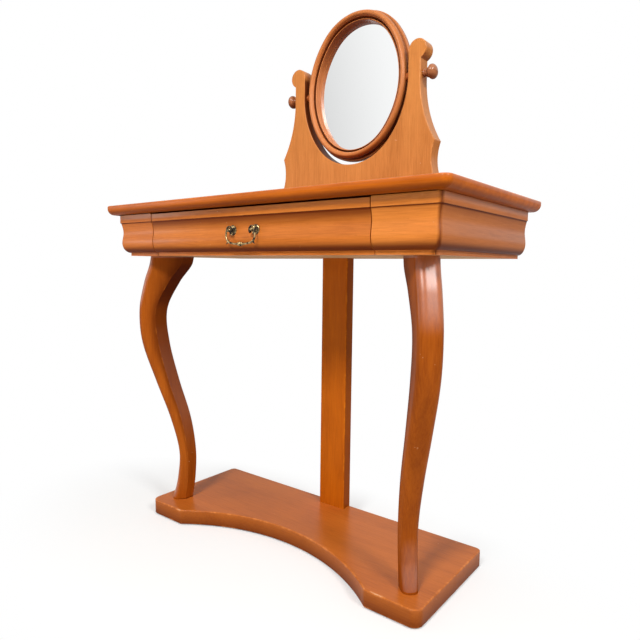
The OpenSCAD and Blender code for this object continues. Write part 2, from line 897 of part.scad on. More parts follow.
// Rod with round sections square to its line, from one scroll to the other
module bail_rod() {
  stations = [for (k = [0 : 2 * len(bail_line) - 2]) bail_station(k)];
  last = len(stations) - 1;
  steps = 40;
  sides = 12;
  scroll = scroll_points();
  centres = concat(
    scroll,
    [for (i = [0 : steps]) let (t = last * i / steps)
      [for (c = [1 : 3]) along(stations, c, min(t, last - eps))]],
    [for (i = [scroll_rings - 1 : -1 : 0]) [-scroll[i][0], scroll[i][1], scroll[i][2]]]
  );
  rings = len(centres) - 1;
  points = [for (i = [0 : rings])
    let (a = centres[max(i - 1, 0)], b = centres[min(i + 1, rings)], c = centres[i])
    let (run = [b[0] - a[0], b[1] - a[1]] / norm([b[0] - a[0], b[1] - a[1]]))
    for (j = [0 : sides - 1]) let (w = 360 * j / sides)
      [c[0] - c[2] * cos(w) * run[1], c[2] * sin(w), c[1] + c[2] * cos(w) * run[0]]];
  skin = [for (i = [0 : rings - 1]) for (j = [0 : sides - 1])
    let (a = i * sides + j, b = i * sides + (j + 1) % sides)
    each [[a, b, b + sides], [a, b + sides, a + sides]]];
  ends = [[for (j = [sides - 1 : -1 : 0]) j], [for (j = [0 : sides - 1]) rings * sides + j]];
  polyhedron(points = points, faces = concat(skin, ends));
}

module handle_bail() {
  leaf = 9;
  bead = [3, 2.6];
  collar = [1.8, 2.2];
  collar_x = 5;
  color(old_brass) translate([0, bail_y, bail_z]) union() {
    bail_rod();
    for (right = [false, true]) on_side(right) {
      translate([handle_cc / 2, 0, 0]) rotate([0, 90, 0])
        cylinder(r = bail_pin_r, h = 2 * scroll_r, center = true);
      translate([0.86 * bail_half, 0, -0.82 * bail_drop]) rotate([0, 140, 0])
        cylinder(r1 = 0.9 * bail_r, r2 = 0.5 * bail_r, h = leaf);
    }
    translate([0, 0, -bail_drop]) rotate([0, 90, 0]) rotate_extrude() polygon(concat(
      [[0, -collar_x - collar[1]]],
      arc_points([0.9 * bail_r, -collar_x], collar, -90, 90, 6),
      arc_points([0.9 * bail_r, 0], bead, -90, 90, 8),
      arc_points([0.9 * bail_r, collar_x], collar, -90, 90, 6),
      [[0, collar_x + collar[1]]]
    ));
  }
}

// Section of the mirror frame: distance out from the oval, and depth in front of the pivot line.
// Outside, a rounded shoulder steps in to a recess with a bead. In front stands a rounded band,
// and inside it are a hollow, a bead and a slope down to the glass.
module frame_section() {
  shoulder_z = -6;
  shoulder_r = 2;
  recess = 6;
  recess_z = 1;
  side_bead = [1.8, 1.8];
  side_bead_z = -3;
  band_inset = 5;
  band = 15;
  band_side = 6;
  band_rise = 11;
  hollow = [2, 3];
  bead = [1.3, 1.8];
  lip_t = 3;
  band_in = band_inset + band;
  bead_x = band_in + 2 * hollow[0] + bead[0];
  ledge = band_side - 1;
  polygon(concat(
    [[0, -frame_back]],
    arc_points([-shoulder_r, shoulder_z - shoulder_r], [shoulder_r, shoulder_r], 0, 90, 4),
    [[-recess, shoulder_z]],
    arc_points([-recess, side_bead_z], side_bead, -90, 90, 6),
    [[-recess, recess_z], [-band_inset, recess_z + 1]],
    arc_points([-band_inset - band / 2, band_side], [band / 2, band_rise], 0, 180, 12),
    arc_points([-band_in - hollow[0], ledge], hollow, 0, -180, 6),
    arc_points([-bead_x, ledge], bead, 0, 180, 6),
    [[-bead_x - bead[0], ledge - 1], [-frame_w, lip_t - lip_back], [-frame_w, -lip_back],
      [-rebate_w, -lip_back], [-rebate_w, -frame_back]]
  ));
}

// Region on the right of the oval that its wide arc covers
module side_sector() {
  run = 3 * mirror_b;
  translate([0, 0, -far / 2]) linear_extrude(height = far) polygon([
    [-side_centre, 0],
    [-side_centre + run * cos(join_angle), run * sin(join_angle)],
    [-side_centre + run * cos(join_angle), -run * sin(join_angle)]
  ]);
}

// Carries the child's section round the oval: wide arcs inside the sectors, tight arcs between them
module round_the_oval() {
  union() {
    for (turn = [0, 180]) rotate([0, 0, turn]) intersection() {
      translate([-side_centre, 0, 0]) rotate_extrude($fn = 180)
        translate([mirror_side_r, 0]) children();
      side_sector();
    }
    difference() {
      for (turn = [0, 180]) rotate([0, 0, turn]) intersection() {
        translate([0, tip_centre, 0]) rotate_extrude($fn = 180)
          translate([mirror_tip_r, 0]) children();
        translate([-far / 2, tip_centre, -far / 2]) cube(far);
      }
      for (turn = [0, 180]) rotate([0, 0, turn]) side_sector();
    }
  }
}

module mirror_frame() {
  color(wood) difference() {
    leaning() translate([0, support_y, mirror_z + mirror_rise]) rotate([90, 0, 0])
      round_the_oval() frame_section();
    for (right = [false, true]) on_side(right) {
      along_pivot(mirror_a - spacer_seat) cylinder(r = spacer_r + seat_room, h = 2 * spacer_seat);
      along_pivot(mirror_a - spacer_seat - insert_l) cylinder(r = insert_r, h = insert_l + 1);
    }
  }
}

module mirror_glass() {
  color(silvered) leaning()
    mirror_plate(-lip_back - glass_t, -lip_back) oval(-rebate_w - sight_clear);
}

module mirror_backing() {
  color(wood_inner) leaning()
    mirror_plate(-lip_back - glass_t - backing_t, -lip_back - glass_t)
      oval(-rebate_w - sight_clear);
}

// Small plates on the back of the frame that hold the backing in its rebate
module backing_clips() {
  clip_t = 1.2;
  clip_d = 13;
  seat_r = mirror_tip_r - rebate_w;
  color(steel) leaning() for (s = [-1, 1]) for (v = [-1, 1])
    mirror_plate(-frame_back - clip_t, -frame_back)
      translate([s * seat_r * cos(45), v * (tip_centre + seat_r * sin(45))]) circle(d = clip_d);
}

module pivot_inserts() {
  color(old_brass) for (right = [false, true]) on_side(right)
    along_pivot(mirror_a - spacer_seat - insert_l) difference() {
      cylinder(r = insert_r, h = insert_l);
      translate([0, 0, -1]) cylinder(r = rod_r + running, h = insert_l + 2);
    }
}

module pivot_spacers() {
  color(wood_dark) for (right = [false, true]) on_side(right)
    along_pivot(mirror_a - spacer_seat) difference() {
      cylinder(r = spacer_r, h = spacer_l);
      translate([0, 0, -1]) cylinder(r = rod_r + running, h = spacer_l + 2);
    }
}

// Turned knob on the pivot line: a neck with rings, then a flattened ball
knob_x = arm_half + 2 * body_gap;
knob_neck = 11;
knob_half_l = 11;

module knob(right) {
  ball = knob_d / 2;
  foot = [1.6, 1.6];
  ring = [1.8, 1.6];
  color(wood) on_side(right) along_pivot(knob_x) difference() {
    rotate_extrude() polygon(concat(
      [[0, 0], [0.4 * ball, 0]],
      arc_points([0.45 * ball, foot[1]], foot, -90, 90, 6),
      [[0.42 * ball, 2 * foot[1] + 0.3], [0.44 * ball, knob_neck - 2 * ring[1] - 0.5]],
      arc_points([0.54 * ball, knob_neck - ring[1]], ring, -90, 90, 6),
      [[0.44 * ball, knob_neck]],
      arc_points([0, knob_neck + knob_half_l - 1], [ball, knob_half_l], -64, 90, 14)
    ));
    translate([0, 0, -1]) cylinder(r = rod_r, h = knob_neck + knob_half_l);
  }
}

module knob_left() {
  knob(false);
}

module knob_right() {
  knob(true);
}

module knob_rod(right) {
  inner = mirror_a - spacer_seat - insert_l + 1;
  color(steel) on_side(right) along_pivot(inner)
    cylinder(r = rod_r, h = knob_x + knob_neck + knob_half_l - 1 - inner);
}

module knob_rod_left() {
  knob_rod(false);
}

module knob_rod_right() {
  knob_rod(true);
}

glides();
plinth();
plinth_screws();
leg_left();
leg_right();
rear_post();
bottom_panel();
frieze_block_left();
frieze_block_right();
side_rail_left();
side_rail_right();
back_rail();
leg_block_left();
leg_block_right();
post_block();
leg_bolts();
drawer_guide_left();
drawer_guide_right();
drawer_runner_left();
drawer_runner_right();
drawer_kicker_left();
drawer_kicker_right();
drawer_stops();
drawer_catch();
top_cleat_left();
top_cleat_right();
top_screws();
tabletop();
mirror_support();
support_screws();
drawer_front();
drawer_side_left();
drawer_side_right();
drawer_back();
drawer_bottom();
handle_post_left();
handle_post_right();
handle_screws();
handle_bail();
mirror_frame();
mirror_glass();
mirror_backing();
backing_clips();
pivot_inserts();
pivot_spacers();
knob_left();
knob_right();
knob_rod_left();
knob_rod_right();
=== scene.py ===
"""Dressing table with one drawer, S-shaped front legs and an oval mirror between shaped arms.

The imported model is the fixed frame. The pieces here stand for its moulded, carved and turned
nodes, and every other node keeps its own mesh and gets a finish. Shapes are worked out in
millimetres, in the frame's own axes: X along the front, Y to the rear, Z up.
"""

import json
import logging
import math
from dataclasses import dataclass, field, replace
from enum import Enum
from typing import Any, Callable, Optional, Sequence, Union

import bpy
import numpy as np
from mathutils import Matrix, Vector


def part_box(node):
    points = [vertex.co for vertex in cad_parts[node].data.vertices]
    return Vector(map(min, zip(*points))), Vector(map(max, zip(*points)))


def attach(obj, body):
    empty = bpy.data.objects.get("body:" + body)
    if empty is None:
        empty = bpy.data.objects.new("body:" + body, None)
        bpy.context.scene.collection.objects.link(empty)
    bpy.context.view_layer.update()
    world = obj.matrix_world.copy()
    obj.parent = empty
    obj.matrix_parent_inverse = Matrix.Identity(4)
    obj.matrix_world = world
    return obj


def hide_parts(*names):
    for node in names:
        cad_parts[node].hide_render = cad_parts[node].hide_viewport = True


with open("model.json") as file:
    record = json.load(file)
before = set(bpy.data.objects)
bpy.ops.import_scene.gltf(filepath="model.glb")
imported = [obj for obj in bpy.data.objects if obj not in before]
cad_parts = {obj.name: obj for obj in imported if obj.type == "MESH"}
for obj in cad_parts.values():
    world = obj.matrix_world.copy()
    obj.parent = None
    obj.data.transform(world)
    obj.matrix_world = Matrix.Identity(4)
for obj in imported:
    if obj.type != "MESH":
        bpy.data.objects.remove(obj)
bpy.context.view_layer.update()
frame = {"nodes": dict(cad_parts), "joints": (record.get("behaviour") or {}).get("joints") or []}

MM = 0.001
Array = np.ndarray
Number = Union[int, float]
Pair = tuple[float, float]
Triple = tuple[float, float, float]
Colour = Triple
Object = bpy.types.Object
Material = bpy.types.Material
log = logging.getLogger("dressing_table")


def stain(red: int, green: int, blue: int) -> Colour:
    """Linear colour of a display colour from 0 to 255, by the usual curve of displays.

    Args:
        red: Red part, from 0 to 255.
        green: Green part.
        blue: Blue part.

    Returns:
        Linear red, green and blue, from 0 to 1.
    """
    shares = np.array([red, green, blue]) / 255
    linear = np.where(shares <= 0.04045, shares / 12.92, ((shares + 0.055) / 1.055) ** 2.4)
    return tuple(float(value) for value in linear)


def toned(colour: Colour, factors: Colour) -> Colour:
    """Colour with each part multiplied by its factor, at most 1."""
    return tuple(min(1.0, part * factor) for part, factor in zip(colour, factors))


def rounded(corners: Array, radii: Sequence[float], steps: int, shoulder: float) -> tuple[Array, Array]:
    """Rounds each corner of one or many polygons with an exact arc.

    The arc between two sides is a rational curve through the points where it touches them,
    pulled to the corner by the sine of half the angle between the sides. A shoulder point lies
    on each side beyond the arc, so that wear fades out there.

    Args:
        corners: Corner points, of shape (levels, corners, 2).
        radii: One radius for each corner.
        steps: Segments in each arc.
        shoulder: Distance from the arc to its shoulder points.

    Returns:
        Points of shape (levels, corners * (steps + 3), 2), and for each point of a level 1 on
        an arc and 0 on a shoulder.
    """
    before = np.roll(corners, 1, axis=1) - corners
    after = np.roll(corners, -1, axis=1) - corners
    before /= np.linalg.norm(before, axis=-1, keepdims=True)
    after /= np.linalg.norm(after, axis=-1, keepdims=True)
    half = np.arccos(np.clip((before * after).sum(-1), -1, 1)) / 2
    reach = (np.asarray(radii)[None, :] / np.tan(half))[..., None]
    pull = np.sin(half)[..., None, None]
    start, end = corners + before * reach, corners + after * reach
    u = np.linspace(0, 1, steps + 1)[None, None, :, None]
    first, middle, last = (1 - u) ** 2, 2 * u * (1 - u) * pull, u**2
    arc = first * start[:, :, None] + middle * corners[:, :, None] + last * end[:, :, None]
    arc = arc / (first + middle + last)
    shoulders = (start + before * shoulder)[:, :, None], (end + after * shoulder)[:, :, None]
    points = np.concatenate([shoulders[0], arc, shoulders[1]], axis=2)
    worn = np.tile(np.r_[0, np.ones(steps + 1), 0], corners.shape[1])
    return points.reshape(len(corners), -1, 2), worn


def arc_line(centre: Sequence[float], radii: Sequence[float], start: float, end: float, steps: int) -> Array:
    """Points of an elliptical arc.

    Each is the centre plus the two radii times the cosine and the sine of its angle.

    Args:
        centre: Centre of the arc.
        radii: Half widths along the two axes.
        start: Angle of the first point, in degrees.
        end: Angle of the last point, in degrees.
        steps: Number of segments.

    Returns:
        Points of shape (steps + 1, 2).
    """
    angles = np.radians(np.linspace(start, end, steps + 1))
    return np.stack([centre[0] + radii[0] * np.cos(angles), centre[1] + radii[1] * np.sin(angles)], -1)


def circle_line(centre: Sequence[float], radius: float, start: float, end: float, steps: int) -> Array:
    """Points of a circle's arc, from one angle in degrees to another."""
    return arc_line(centre, (radius, radius), start, end, steps)


def inward(outline: Array, least_spread: float = 0.35) -> Array:
    """Mitred inward directions of a closed outline.

    At each point they are the sum of the two sides' unit normals over one plus their dot
    product, so that a step along them moves both sides by that step.

    Args:
        outline: Points of shape (n, 2), with none repeated.
        least_spread: Least divisor, which keeps a sharp point from moving far.

    Returns:
        Directions of shape (n, 2), turned to the inside.
    """
    following = np.roll(outline, -1, axis=0)
    area = (outline[:, 0] * following[:, 1] - following[:, 0] * outline[:, 1]).sum()
    run = following - outline
    run /= np.linalg.norm(run, axis=1, keepdims=True)
    normal = np.stack([-run[:, 1], run[:, 0]], -1) * math.copysign(1, area)
    other = np.roll(normal, 1, axis=0)
    spread = 1 + (normal * other).sum(-1, keepdims=True)
    return (normal + other) / np.maximum(spread, least_spread)


def edge_loops(outline: Array, steps_in: Array, edge: Array) -> Array:
    """Carries an edge section round a flat outline.

    Each loop is the outline moved in by the section's first number, at the height of its second.

    Args:
        outline: Points of shape (n, 2).
        steps_in: Inward directions of shape (n, 2).
        edge: Section of shape (k, 2): distance in, height.

    Returns:
        Loops of shape (k, n, 3).
    """
    flat = outline[None] + edge[:, None, :1] * steps_in[None]
    height = np.broadcast_to(edge[:, None, 1:], flat.shape[:2] + (1,))
    return np.concatenate([flat, height], axis=-1)


def tube(path: Array, radii: Array, across: Sequence[float], sides: int = 16) -> Array:
    """Carries a circle along a flat path.

    Each ring is the path's point plus the radius times cosine of the plane's normal and sine of
    the direction square to both the normal and the path.

    Args:
        path: Points of shape (k, 3).
        radii: Radius at each point.
        across: Unit normal of the path's plane.
        sides: Points in each ring.

    Returns:
        Loops of shape (k, sides, 3).
    """
    run = np.gradient(path, axis=0)
    run /= np.linalg.norm(run, axis=1, keepdims=True)
    normal = np.broadcast_to(np.asarray(across, float), path.shape)
    square = np.cross(run, normal)
    turn = np.linspace(0, 2 * np.pi, sides, endpoint=False)[None, :, None]
    radii = np.asarray(radii, float)[:, None, None]
    return path[:, None] + radii * (np.cos(turn) * normal[:, None] + np.sin(turn) * square[:, None])


def turned(profile: Array, origin: Sequence[float], axis: Sequence[float], sides: int = 48) -> Array:
    """Turns a profile about an axis, as on a lathe.

    Each ring is the origin plus the distance along the axis plus the radius times cosine and
    sine of two directions square to it.

    Args:
        profile: Section of shape (k, 2): distance along the axis, radius.
        origin: Point that the distances start from.
        axis: Unit direction.
        sides: Points in each ring.

    Returns:
        Loops of shape (k, sides, 3).
    """
    along = np.asarray(axis, float)
    first = np.cross(along, [0.0, 0.0, 1.0] if abs(along[2]) < 0.9 else [1.0, 0.0, 0.0])
    first /= np.linalg.norm(first)
    second = np.cross(along, first)
    turn = np.linspace(0, 2 * np.pi, sides, endpoint=False)[None, :, None]
    spoke = np.cos(turn) * first + np.sin(turn) * second
    return np.asarray(origin, float) + profile[:, :1, None] * along + profile[:, 1:, None] * spoke


def smooth_line(stations: Array, samples: int) -> Array:
    """Smooth curve through stations, with a cubic between each two.

    Between two stations each column is the cubic whose slopes there are those of the lines
    between the neighbours of each.

    Args:
        stations: Rows of the parameter followed by the values, of shape (n, 1 + columns).
        samples: Number of even steps of the parameter.

    Returns:
        Values at samples + 1 places, of shape (samples + 1, columns).
    """
    t, values = stations[:, 0], stations[:, 1:]
    at = np.linspace(t[0], t[-1], samples + 1)
    i = np.clip(np.searchsorted(t, at, side="right") - 1, 0, len(t) - 2)
    low, high = np.maximum(np.arange(len(t)) - 1, 0), np.minimum(np.arange(len(t)) + 1, len(t) - 1)
    slope = (values[high] - values[low]) / (t[high] - t[low])[:, None]
    h = (t[i + 1] - t[i])[:, None]
    u = (at[:, None] - t[i][:, None]) / h
    return (
        (2 * u**3 - 3 * u**2 + 1) * values[i]
        + (u**3 - 2 * u**2 + u) * h * slope[i]
        + (3 * u**2 - 2 * u**3) * values[i + 1]
        + (u**3 - u**2) * h * slope[i + 1]
    )


def mirrored(loops: Array) -> Array:
    """Mirror image of loops on the other side of the middle."""
    return loops * np.array([-1.0, 1.0, 1.0])


SIDES: dict[str, Callable[[Array], Array]] = {"left": mirrored, "right": np.copy}


@dataclass(frozen=True)
class Extent:
    """Lowest and highest corner of a part, in millimetres."""

    low: Array
    high: Array

    @classmethod
    def of(cls, node: str) -> "Extent":
        """Extent of a CAD node at rest."""
        low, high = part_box(node)
        return cls(np.array(low) / MM, np.array(high) / MM)


def hinge(name: str) -> Array:
    """Place of a joint of the record, in millimetres."""
    joints = frame["joints"]
    return np.array(next(joint for joint in joints if joint["name"] == name)["pos_m"]) / MM


class Skin:
    """Closed surfaces of one piece, in millimetres, collected before they become its mesh."""

    def __init__(self) -> None:
        """Starts with no surface."""
        self.points: list[Array] = []
        self.faces: list[list[int]] = []
        self.wear: list[Array] = []
        self.shade: list[Array] = []
        self.grain: list[Array] = []
        self.count = 0

    def add(
        self,
        loops: Array,
        wear: Union[float, Array] = 0.0,
        shade: Union[float, Array] = 0.0,
        ring: bool = False,
        grain: Optional[tuple[Array, Array]] = None,
    ) -> "Skin":
        """Adds the surface over a stack of closed loops, turned outwards by its signed volume.

        Args:
            loops: Points of shape (k, m, 3); each loop is closed.
            wear: Weight of wear at each point, broadcast to (k, m).
            shade: Weight of the painted shade at each point, broadcast to (k, m).
            ring: True when the last loop joins the first, or else both ends are capped.
            grain: Lengths along the loops (m + 1) and across them (k + 1) for the grain map.

        Returns:
            The skin itself.
        """
        rows, columns = loops.shape[:2]
        index = self.count + np.arange(rows * columns).reshape(rows, columns)
        right = np.roll(index, -1, axis=1)
        quads = np.stack([index, right, np.roll(right, -1, axis=0), np.roll(index, -1, axis=0)], -1)
        quads = quads[: rows if ring else rows - 1]
        along, across = grain or (np.zeros(columns + 1), np.zeros(rows + 1))
        u, v = np.meshgrid(along, across)
        corners = np.stack([u, v], -1)
        maps = [corners[:-1, :-1], corners[:-1, 1:], corners[1:, 1:], corners[1:, :-1]]
        maps = np.stack(maps, axis=2)[: len(quads)]
        flat = loops.reshape(-1, 3)
        local = quads.reshape(-1, 4) - self.count
        a, b, c, d = (flat[local[:, k]] for k in range(4))
        volume = (a * np.cross(b, c)).sum() + (a * np.cross(c, d)).sum()
        ends: list[Array] = []
        if not ring:
            for loop, turn in ((index[0], -1), (index[-1], 1)):
                fan = flat[loop - self.count]
                volume += turn * (fan[0] * np.cross(fan[1:-1], fan[2:])).sum()
                ends.append(loop[::turn])
        order = 1 if volume > 0 else -1
        self.faces += quads.reshape(-1, 4)[:, ::order].tolist() + [end[::order].tolist() for end in ends]
        self.grain.append(maps.reshape(-1, 4, 2)[:, ::order].reshape(-1, 2))
        self.grain.append(np.zeros((sum(len(end) for end in ends), 2)))
        self.points.append(flat)
        for weights, given in ((self.wear, wear), (self.shade, shade)):
            weights.append(np.broadcast_to(np.asarray(given, float), (rows, columns)).reshape(-1))
        self.count += rows * columns
        return self

    def piece(self, name: str, sharp: float = 35.0) -> Object:
        """Makes the mesh, with smooth shading that breaks at sharp edges.

        Its points carry the wear, the painted shade, and the tilt, which is how far their
        normal looks up.

        Args:
            name: Name of the object.
            sharp: Angle between faces, in degrees, past which the edge stays crisp.

        Returns:
            The object, at the origin, with its place in its mesh.
        """
        mesh = bpy.data.meshes.new(name)
        mesh.from_pydata((np.concatenate(self.points) * MM).tolist(), [], self.faces)
        tilt = np.empty(len(mesh.vertices) * 3, np.float32)
        mesh.vertex_normals.foreach_get("vector", tilt)
        weights = {"wear": np.concatenate(self.wear), "shade": np.concatenate(self.shade), "tilt": tilt[2::3]}
        for label, values in weights.items():
            attribute = mesh.attributes.new(label, "FLOAT", "POINT")
            attribute.data.foreach_set("value", values.astype(np.float32))
        grain = mesh.uv_layers.new(name="grain")
        grain.data.foreach_set("uv", (np.concatenate(self.grain) * MM).astype(np.float32).ravel())
        mesh.polygons.foreach_set("use_smooth", np.ones(len(mesh.polygons), bool))
        mesh.set_sharp_from_angle(angle=math.radians(sharp))
        mesh.update()
        piece = bpy.data.objects.new(name, mesh)
        bpy.context.scene.collection.objects.link(piece)
        return piece


def place(piece: Object, body: str, slot: str, material: Material, *nodes: str) -> Object:
    """Dresses a new piece and ties it to the frame.

    Args:
        piece: The new object.
        body: Body that it rides on.
        slot: Material slot of the record; not used.
        material: Its finish.
        nodes: Nodes that it stands for.

    Returns:
        The same object.
    """
    piece.data.materials.append(material)
    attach(piece, body)
    if nodes:
        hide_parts(*nodes)
    return piece


def dress(material: Material, nodes: Sequence[str]) -> None:
    """Gives the material to nodes that keep their own mesh.

    Args:
        material: The finish.
        nodes: Names of the nodes.
    """
    for name in nodes:
        mesh = frame["nodes"][name].data
        mesh.materials.clear()
        mesh.materials.append(material)


Term = Union["Value", Number]


class Value:
    """A socket in an expression: each operator adds its Math node."""

    def __init__(self, recipe: "Recipe", socket: bpy.types.NodeSocket) -> None:
        """Wraps a socket of a recipe."""
        self.recipe = recipe
        self.socket = socket

    def _math(self, operation: str, *terms: Term) -> "Value":
        """Math node with this operation on the terms, in their order."""
        node = self.recipe.node("ShaderNodeMath", {"operation": operation}, dict(enumerate(terms)))
        return Value(self.recipe, node.outputs[0])

    def __add__(self, other: Term) -> "Value":
        """Sum."""
        return self._math("ADD", self, other)

    __radd__ = __add__

    def __sub__(self, other: Term) -> "Value":
        """Difference."""
        return self._math("SUBTRACT", self, other)

    def __rsub__(self, other: Number) -> "Value":
        """Difference from a number."""
        return self._math("SUBTRACT", other, self)

    def __mul__(self, other: Term) -> "Value":
        """Product."""
        return self._math("MULTIPLY", self, other)

    __rmul__ = __mul__

    def most(self, other: Term) -> "Value":
        """The larger of the two."""
        return self._math("MAXIMUM", self, other)

    def ramp(self, low: float, high: float, start: float = 0.0, end: float = 1.0) -> "Value":
        """Smooth step from start at low to end at high.

        Args:
            low: Value where the step sets in.
            high: Value where it ends.
            start: Result below the step.
            end: Result above the step.

        Returns:
            The stepped value.
        """
        node = self.recipe.node(
            "ShaderNodeMapRange",
            {"interpolation_type": "SMOOTHSTEP"},
            {"Value": self, "From Min": low, "From Max": high, "To Min": start, "To Max": end},
        )
        return Value(self.recipe, node.outputs[0])


Input = Union[Value, bpy.types.NodeSocket, Number, tuple]
Inputs = dict[Union[str, int], Input]


class Recipe:
    """A node tree being written, for a piece's material or for the world.

    Patterns start from its base, which stays empty where they follow object coordinates.
    """

    def __init__(self, owner: Union[Material, bpy.types.World]) -> None:
        """Empties the owner's tree and starts to write in it.

        Args:
            owner: Material or world whose tree is written.
        """
        owner.use_nodes = True
        self.owner = owner
        self.tree = owner.node_tree
        self.tree.nodes.clear()
        self.base: Optional[Value] = None

    def node(self, kind: str, settings: dict[str, Any], inputs: Inputs) -> bpy.types.Node:
        """Adds one node.

        Args:
            kind: The node's type.
            settings: Properties that are set first; "stops" holds a ramp's stops.
            inputs: Values or links for its sockets, by name or number.

        Returns:
            The node.
        """
        node = self.tree.nodes.new(kind)
        for key, setting in settings.items():
            if key == "stops":
                self._stops(node.color_ramp.elements, setting)
            else:
                setattr(node, key, setting)
        for key, given in inputs.items():
            if isinstance(given, Value):
                given = given.socket
            if isinstance(given, bpy.types.NodeSocket):
                self.tree.links.new(given, node.inputs[key])
            elif isinstance(given, tuple) and node.inputs[key].type == "RGBA":
                node.inputs[key].default_value = (*given, 1.0)
            else:
                node.inputs[key].default_value = given
        return node

    @staticmethod
    def _stops(elements: bpy.types.ColorRampElements, stops: Sequence[tuple[float, Colour]]) -> None:
        """Puts the stops (position, colour) in a ramp.

        Args:
            elements: Elements of the ramp.
            stops: Place and colour of each stop.
        """
        while len(elements) < len(stops):
            elements.new(1.0)
        for element, (position, colour) in zip(elements, stops):
            element.position = position
            element.color = (*colour, 1.0)

    def value(self, kind: str, settings: dict[str, Any], inputs: Inputs, output: int = 0) -> Value:
        """Adds one node and wraps one of its outputs."""
        return Value(self, self.node(kind, settings, inputs).outputs[output])

    def stretched(self, scale: Union[float, Triple], shift: Triple = (0.0, 0.0, 0.0)) -> Value:
        """The base, or else object coordinates, moved and then scaled along each axis.

        Args:
            scale: Factor along all axes, or along each.
            shift: Distance by which the base moves first.

        Returns:
            The moved and scaled place.
        """
        scale = scale if isinstance(scale, tuple) else (scale, scale, scale)
        base = self.base or self.value("ShaderNodeTexCoord", {}, {}, 3)
        moved = self.value("ShaderNodeVectorMath", {"operation": "ADD"}, {0: base, 1: shift})
        return self.value("ShaderNodeVectorMath", {"operation": "MULTIPLY"}, {0: moved, 1: scale})

    def noise(
        self,
        scale: Union[float, Triple],
        detail: float,
        rough: float = 0.5,
        warp: float = 0.0,
        shift: Triple = (0.0, 0.0, 0.0),
    ) -> Value:
        """Noise from 0 to 1.

        Args:
            scale: Cells to the metre, along all axes or along each.
            detail: Number of finer layers.
            rough: Weight of each layer against the one before.
            warp: How far the noise is bent by itself.
            shift: Distance by which the pattern moves.

        Returns:
            The noise's value.
        """
        at = self.stretched(scale, shift)
        inputs = {"Vector": at, "Scale": 1.0, "Detail": detail, "Roughness": rough, "Distortion": warp}
        return self.value("ShaderNodeTexNoise", {}, inputs)

    def attribute(self, name: str) -> Value:
        """Number that the mesh's points carry under this name."""
        return self.value("ShaderNodeAttribute", {"attribute_name": name}, {}, 2)

    def blend(self, share: Value, stops: Sequence[tuple[float, Colour]]) -> Value:
        """Colour at this share of the way through the stops."""
        return self.value("ShaderNodeValToRGB", {"stops": stops}, {"Fac": share})

    def mix(self, share: Value, first: Input, second: Input) -> Value:
        """Colour mixed from the first towards the second."""
        return self.value("ShaderNodeMix", {"data_type": "RGBA"}, {0: share, 6: first, 7: second}, 2)

    def light(self, kind: str, colour: Colour, strength: Input) -> Value:
        """Shader of this type that gives light of a colour and strength."""
        return self.value(kind, {}, {"Color": colour, "Strength": strength})

    def either(self, share: Value, first: Value, second: Value) -> Value:
        """Shader mixed from the first towards the second."""
        return self.value("ShaderNodeMixShader", {}, {0: share, 1: first, 2: second})

    def bump(self, height: Value, depth: float, under: Optional[Value] = None) -> Value:
        """Normal of a surface with this height times a depth in metres.

        Args:
            height: Height of the surface, from 0 to 1.
            depth: Distance in metres for a height of 1.
            under: Normal of a broader relief that this one lies on.

        Returns:
            The normal.
        """
        inputs: Inputs = {"Height": height, "Distance": depth, "Strength": 1.0}
        if under:
            inputs["Normal"] = under
        return self.value("ShaderNodeBump", {}, inputs)

    def surface(self, inputs: Inputs) -> Material:
        """Ends a material in one surface shader with these inputs.

        Args:
            inputs: Values or links for the shader's sockets.

        Returns:
            The material.
        """
        shader = self.node("ShaderNodeBsdfPrincipled", {}, inputs)
        self.node("ShaderNodeOutputMaterial", {}, {"Surface": shader.outputs[0]})
        return self.owner


class Grain(Enum):
    """Way that the grain of a piece of wood runs."""

    X = 0
    Y = 1
    Z = 2
    RING = 3

    def scale(self, along: float, across: float) -> Triple:
        """Scales along the grain's axis and across the two others."""
        axis = 0 if self is Grain.RING else self.value
        return tuple(along if k == axis else across for k in range(3))


@dataclass(frozen=True)
class Pattern:
    """Noise in wood, with its cells to the metre along the grain and across it."""

    along: float
    across: float
    detail: float
    rough: float = 0.5
    warp: float = 0.0
    shift: Triple = (0.0, 0.0, 0.0)

    def on(self, recipe: Recipe, grain: Grain) -> Value:
        """The noise in a recipe, for wood whose grain runs this way."""
        scale = grain.scale(self.along, self.across)
        return recipe.noise(scale, self.detail, self.rough, self.warp, self.shift)


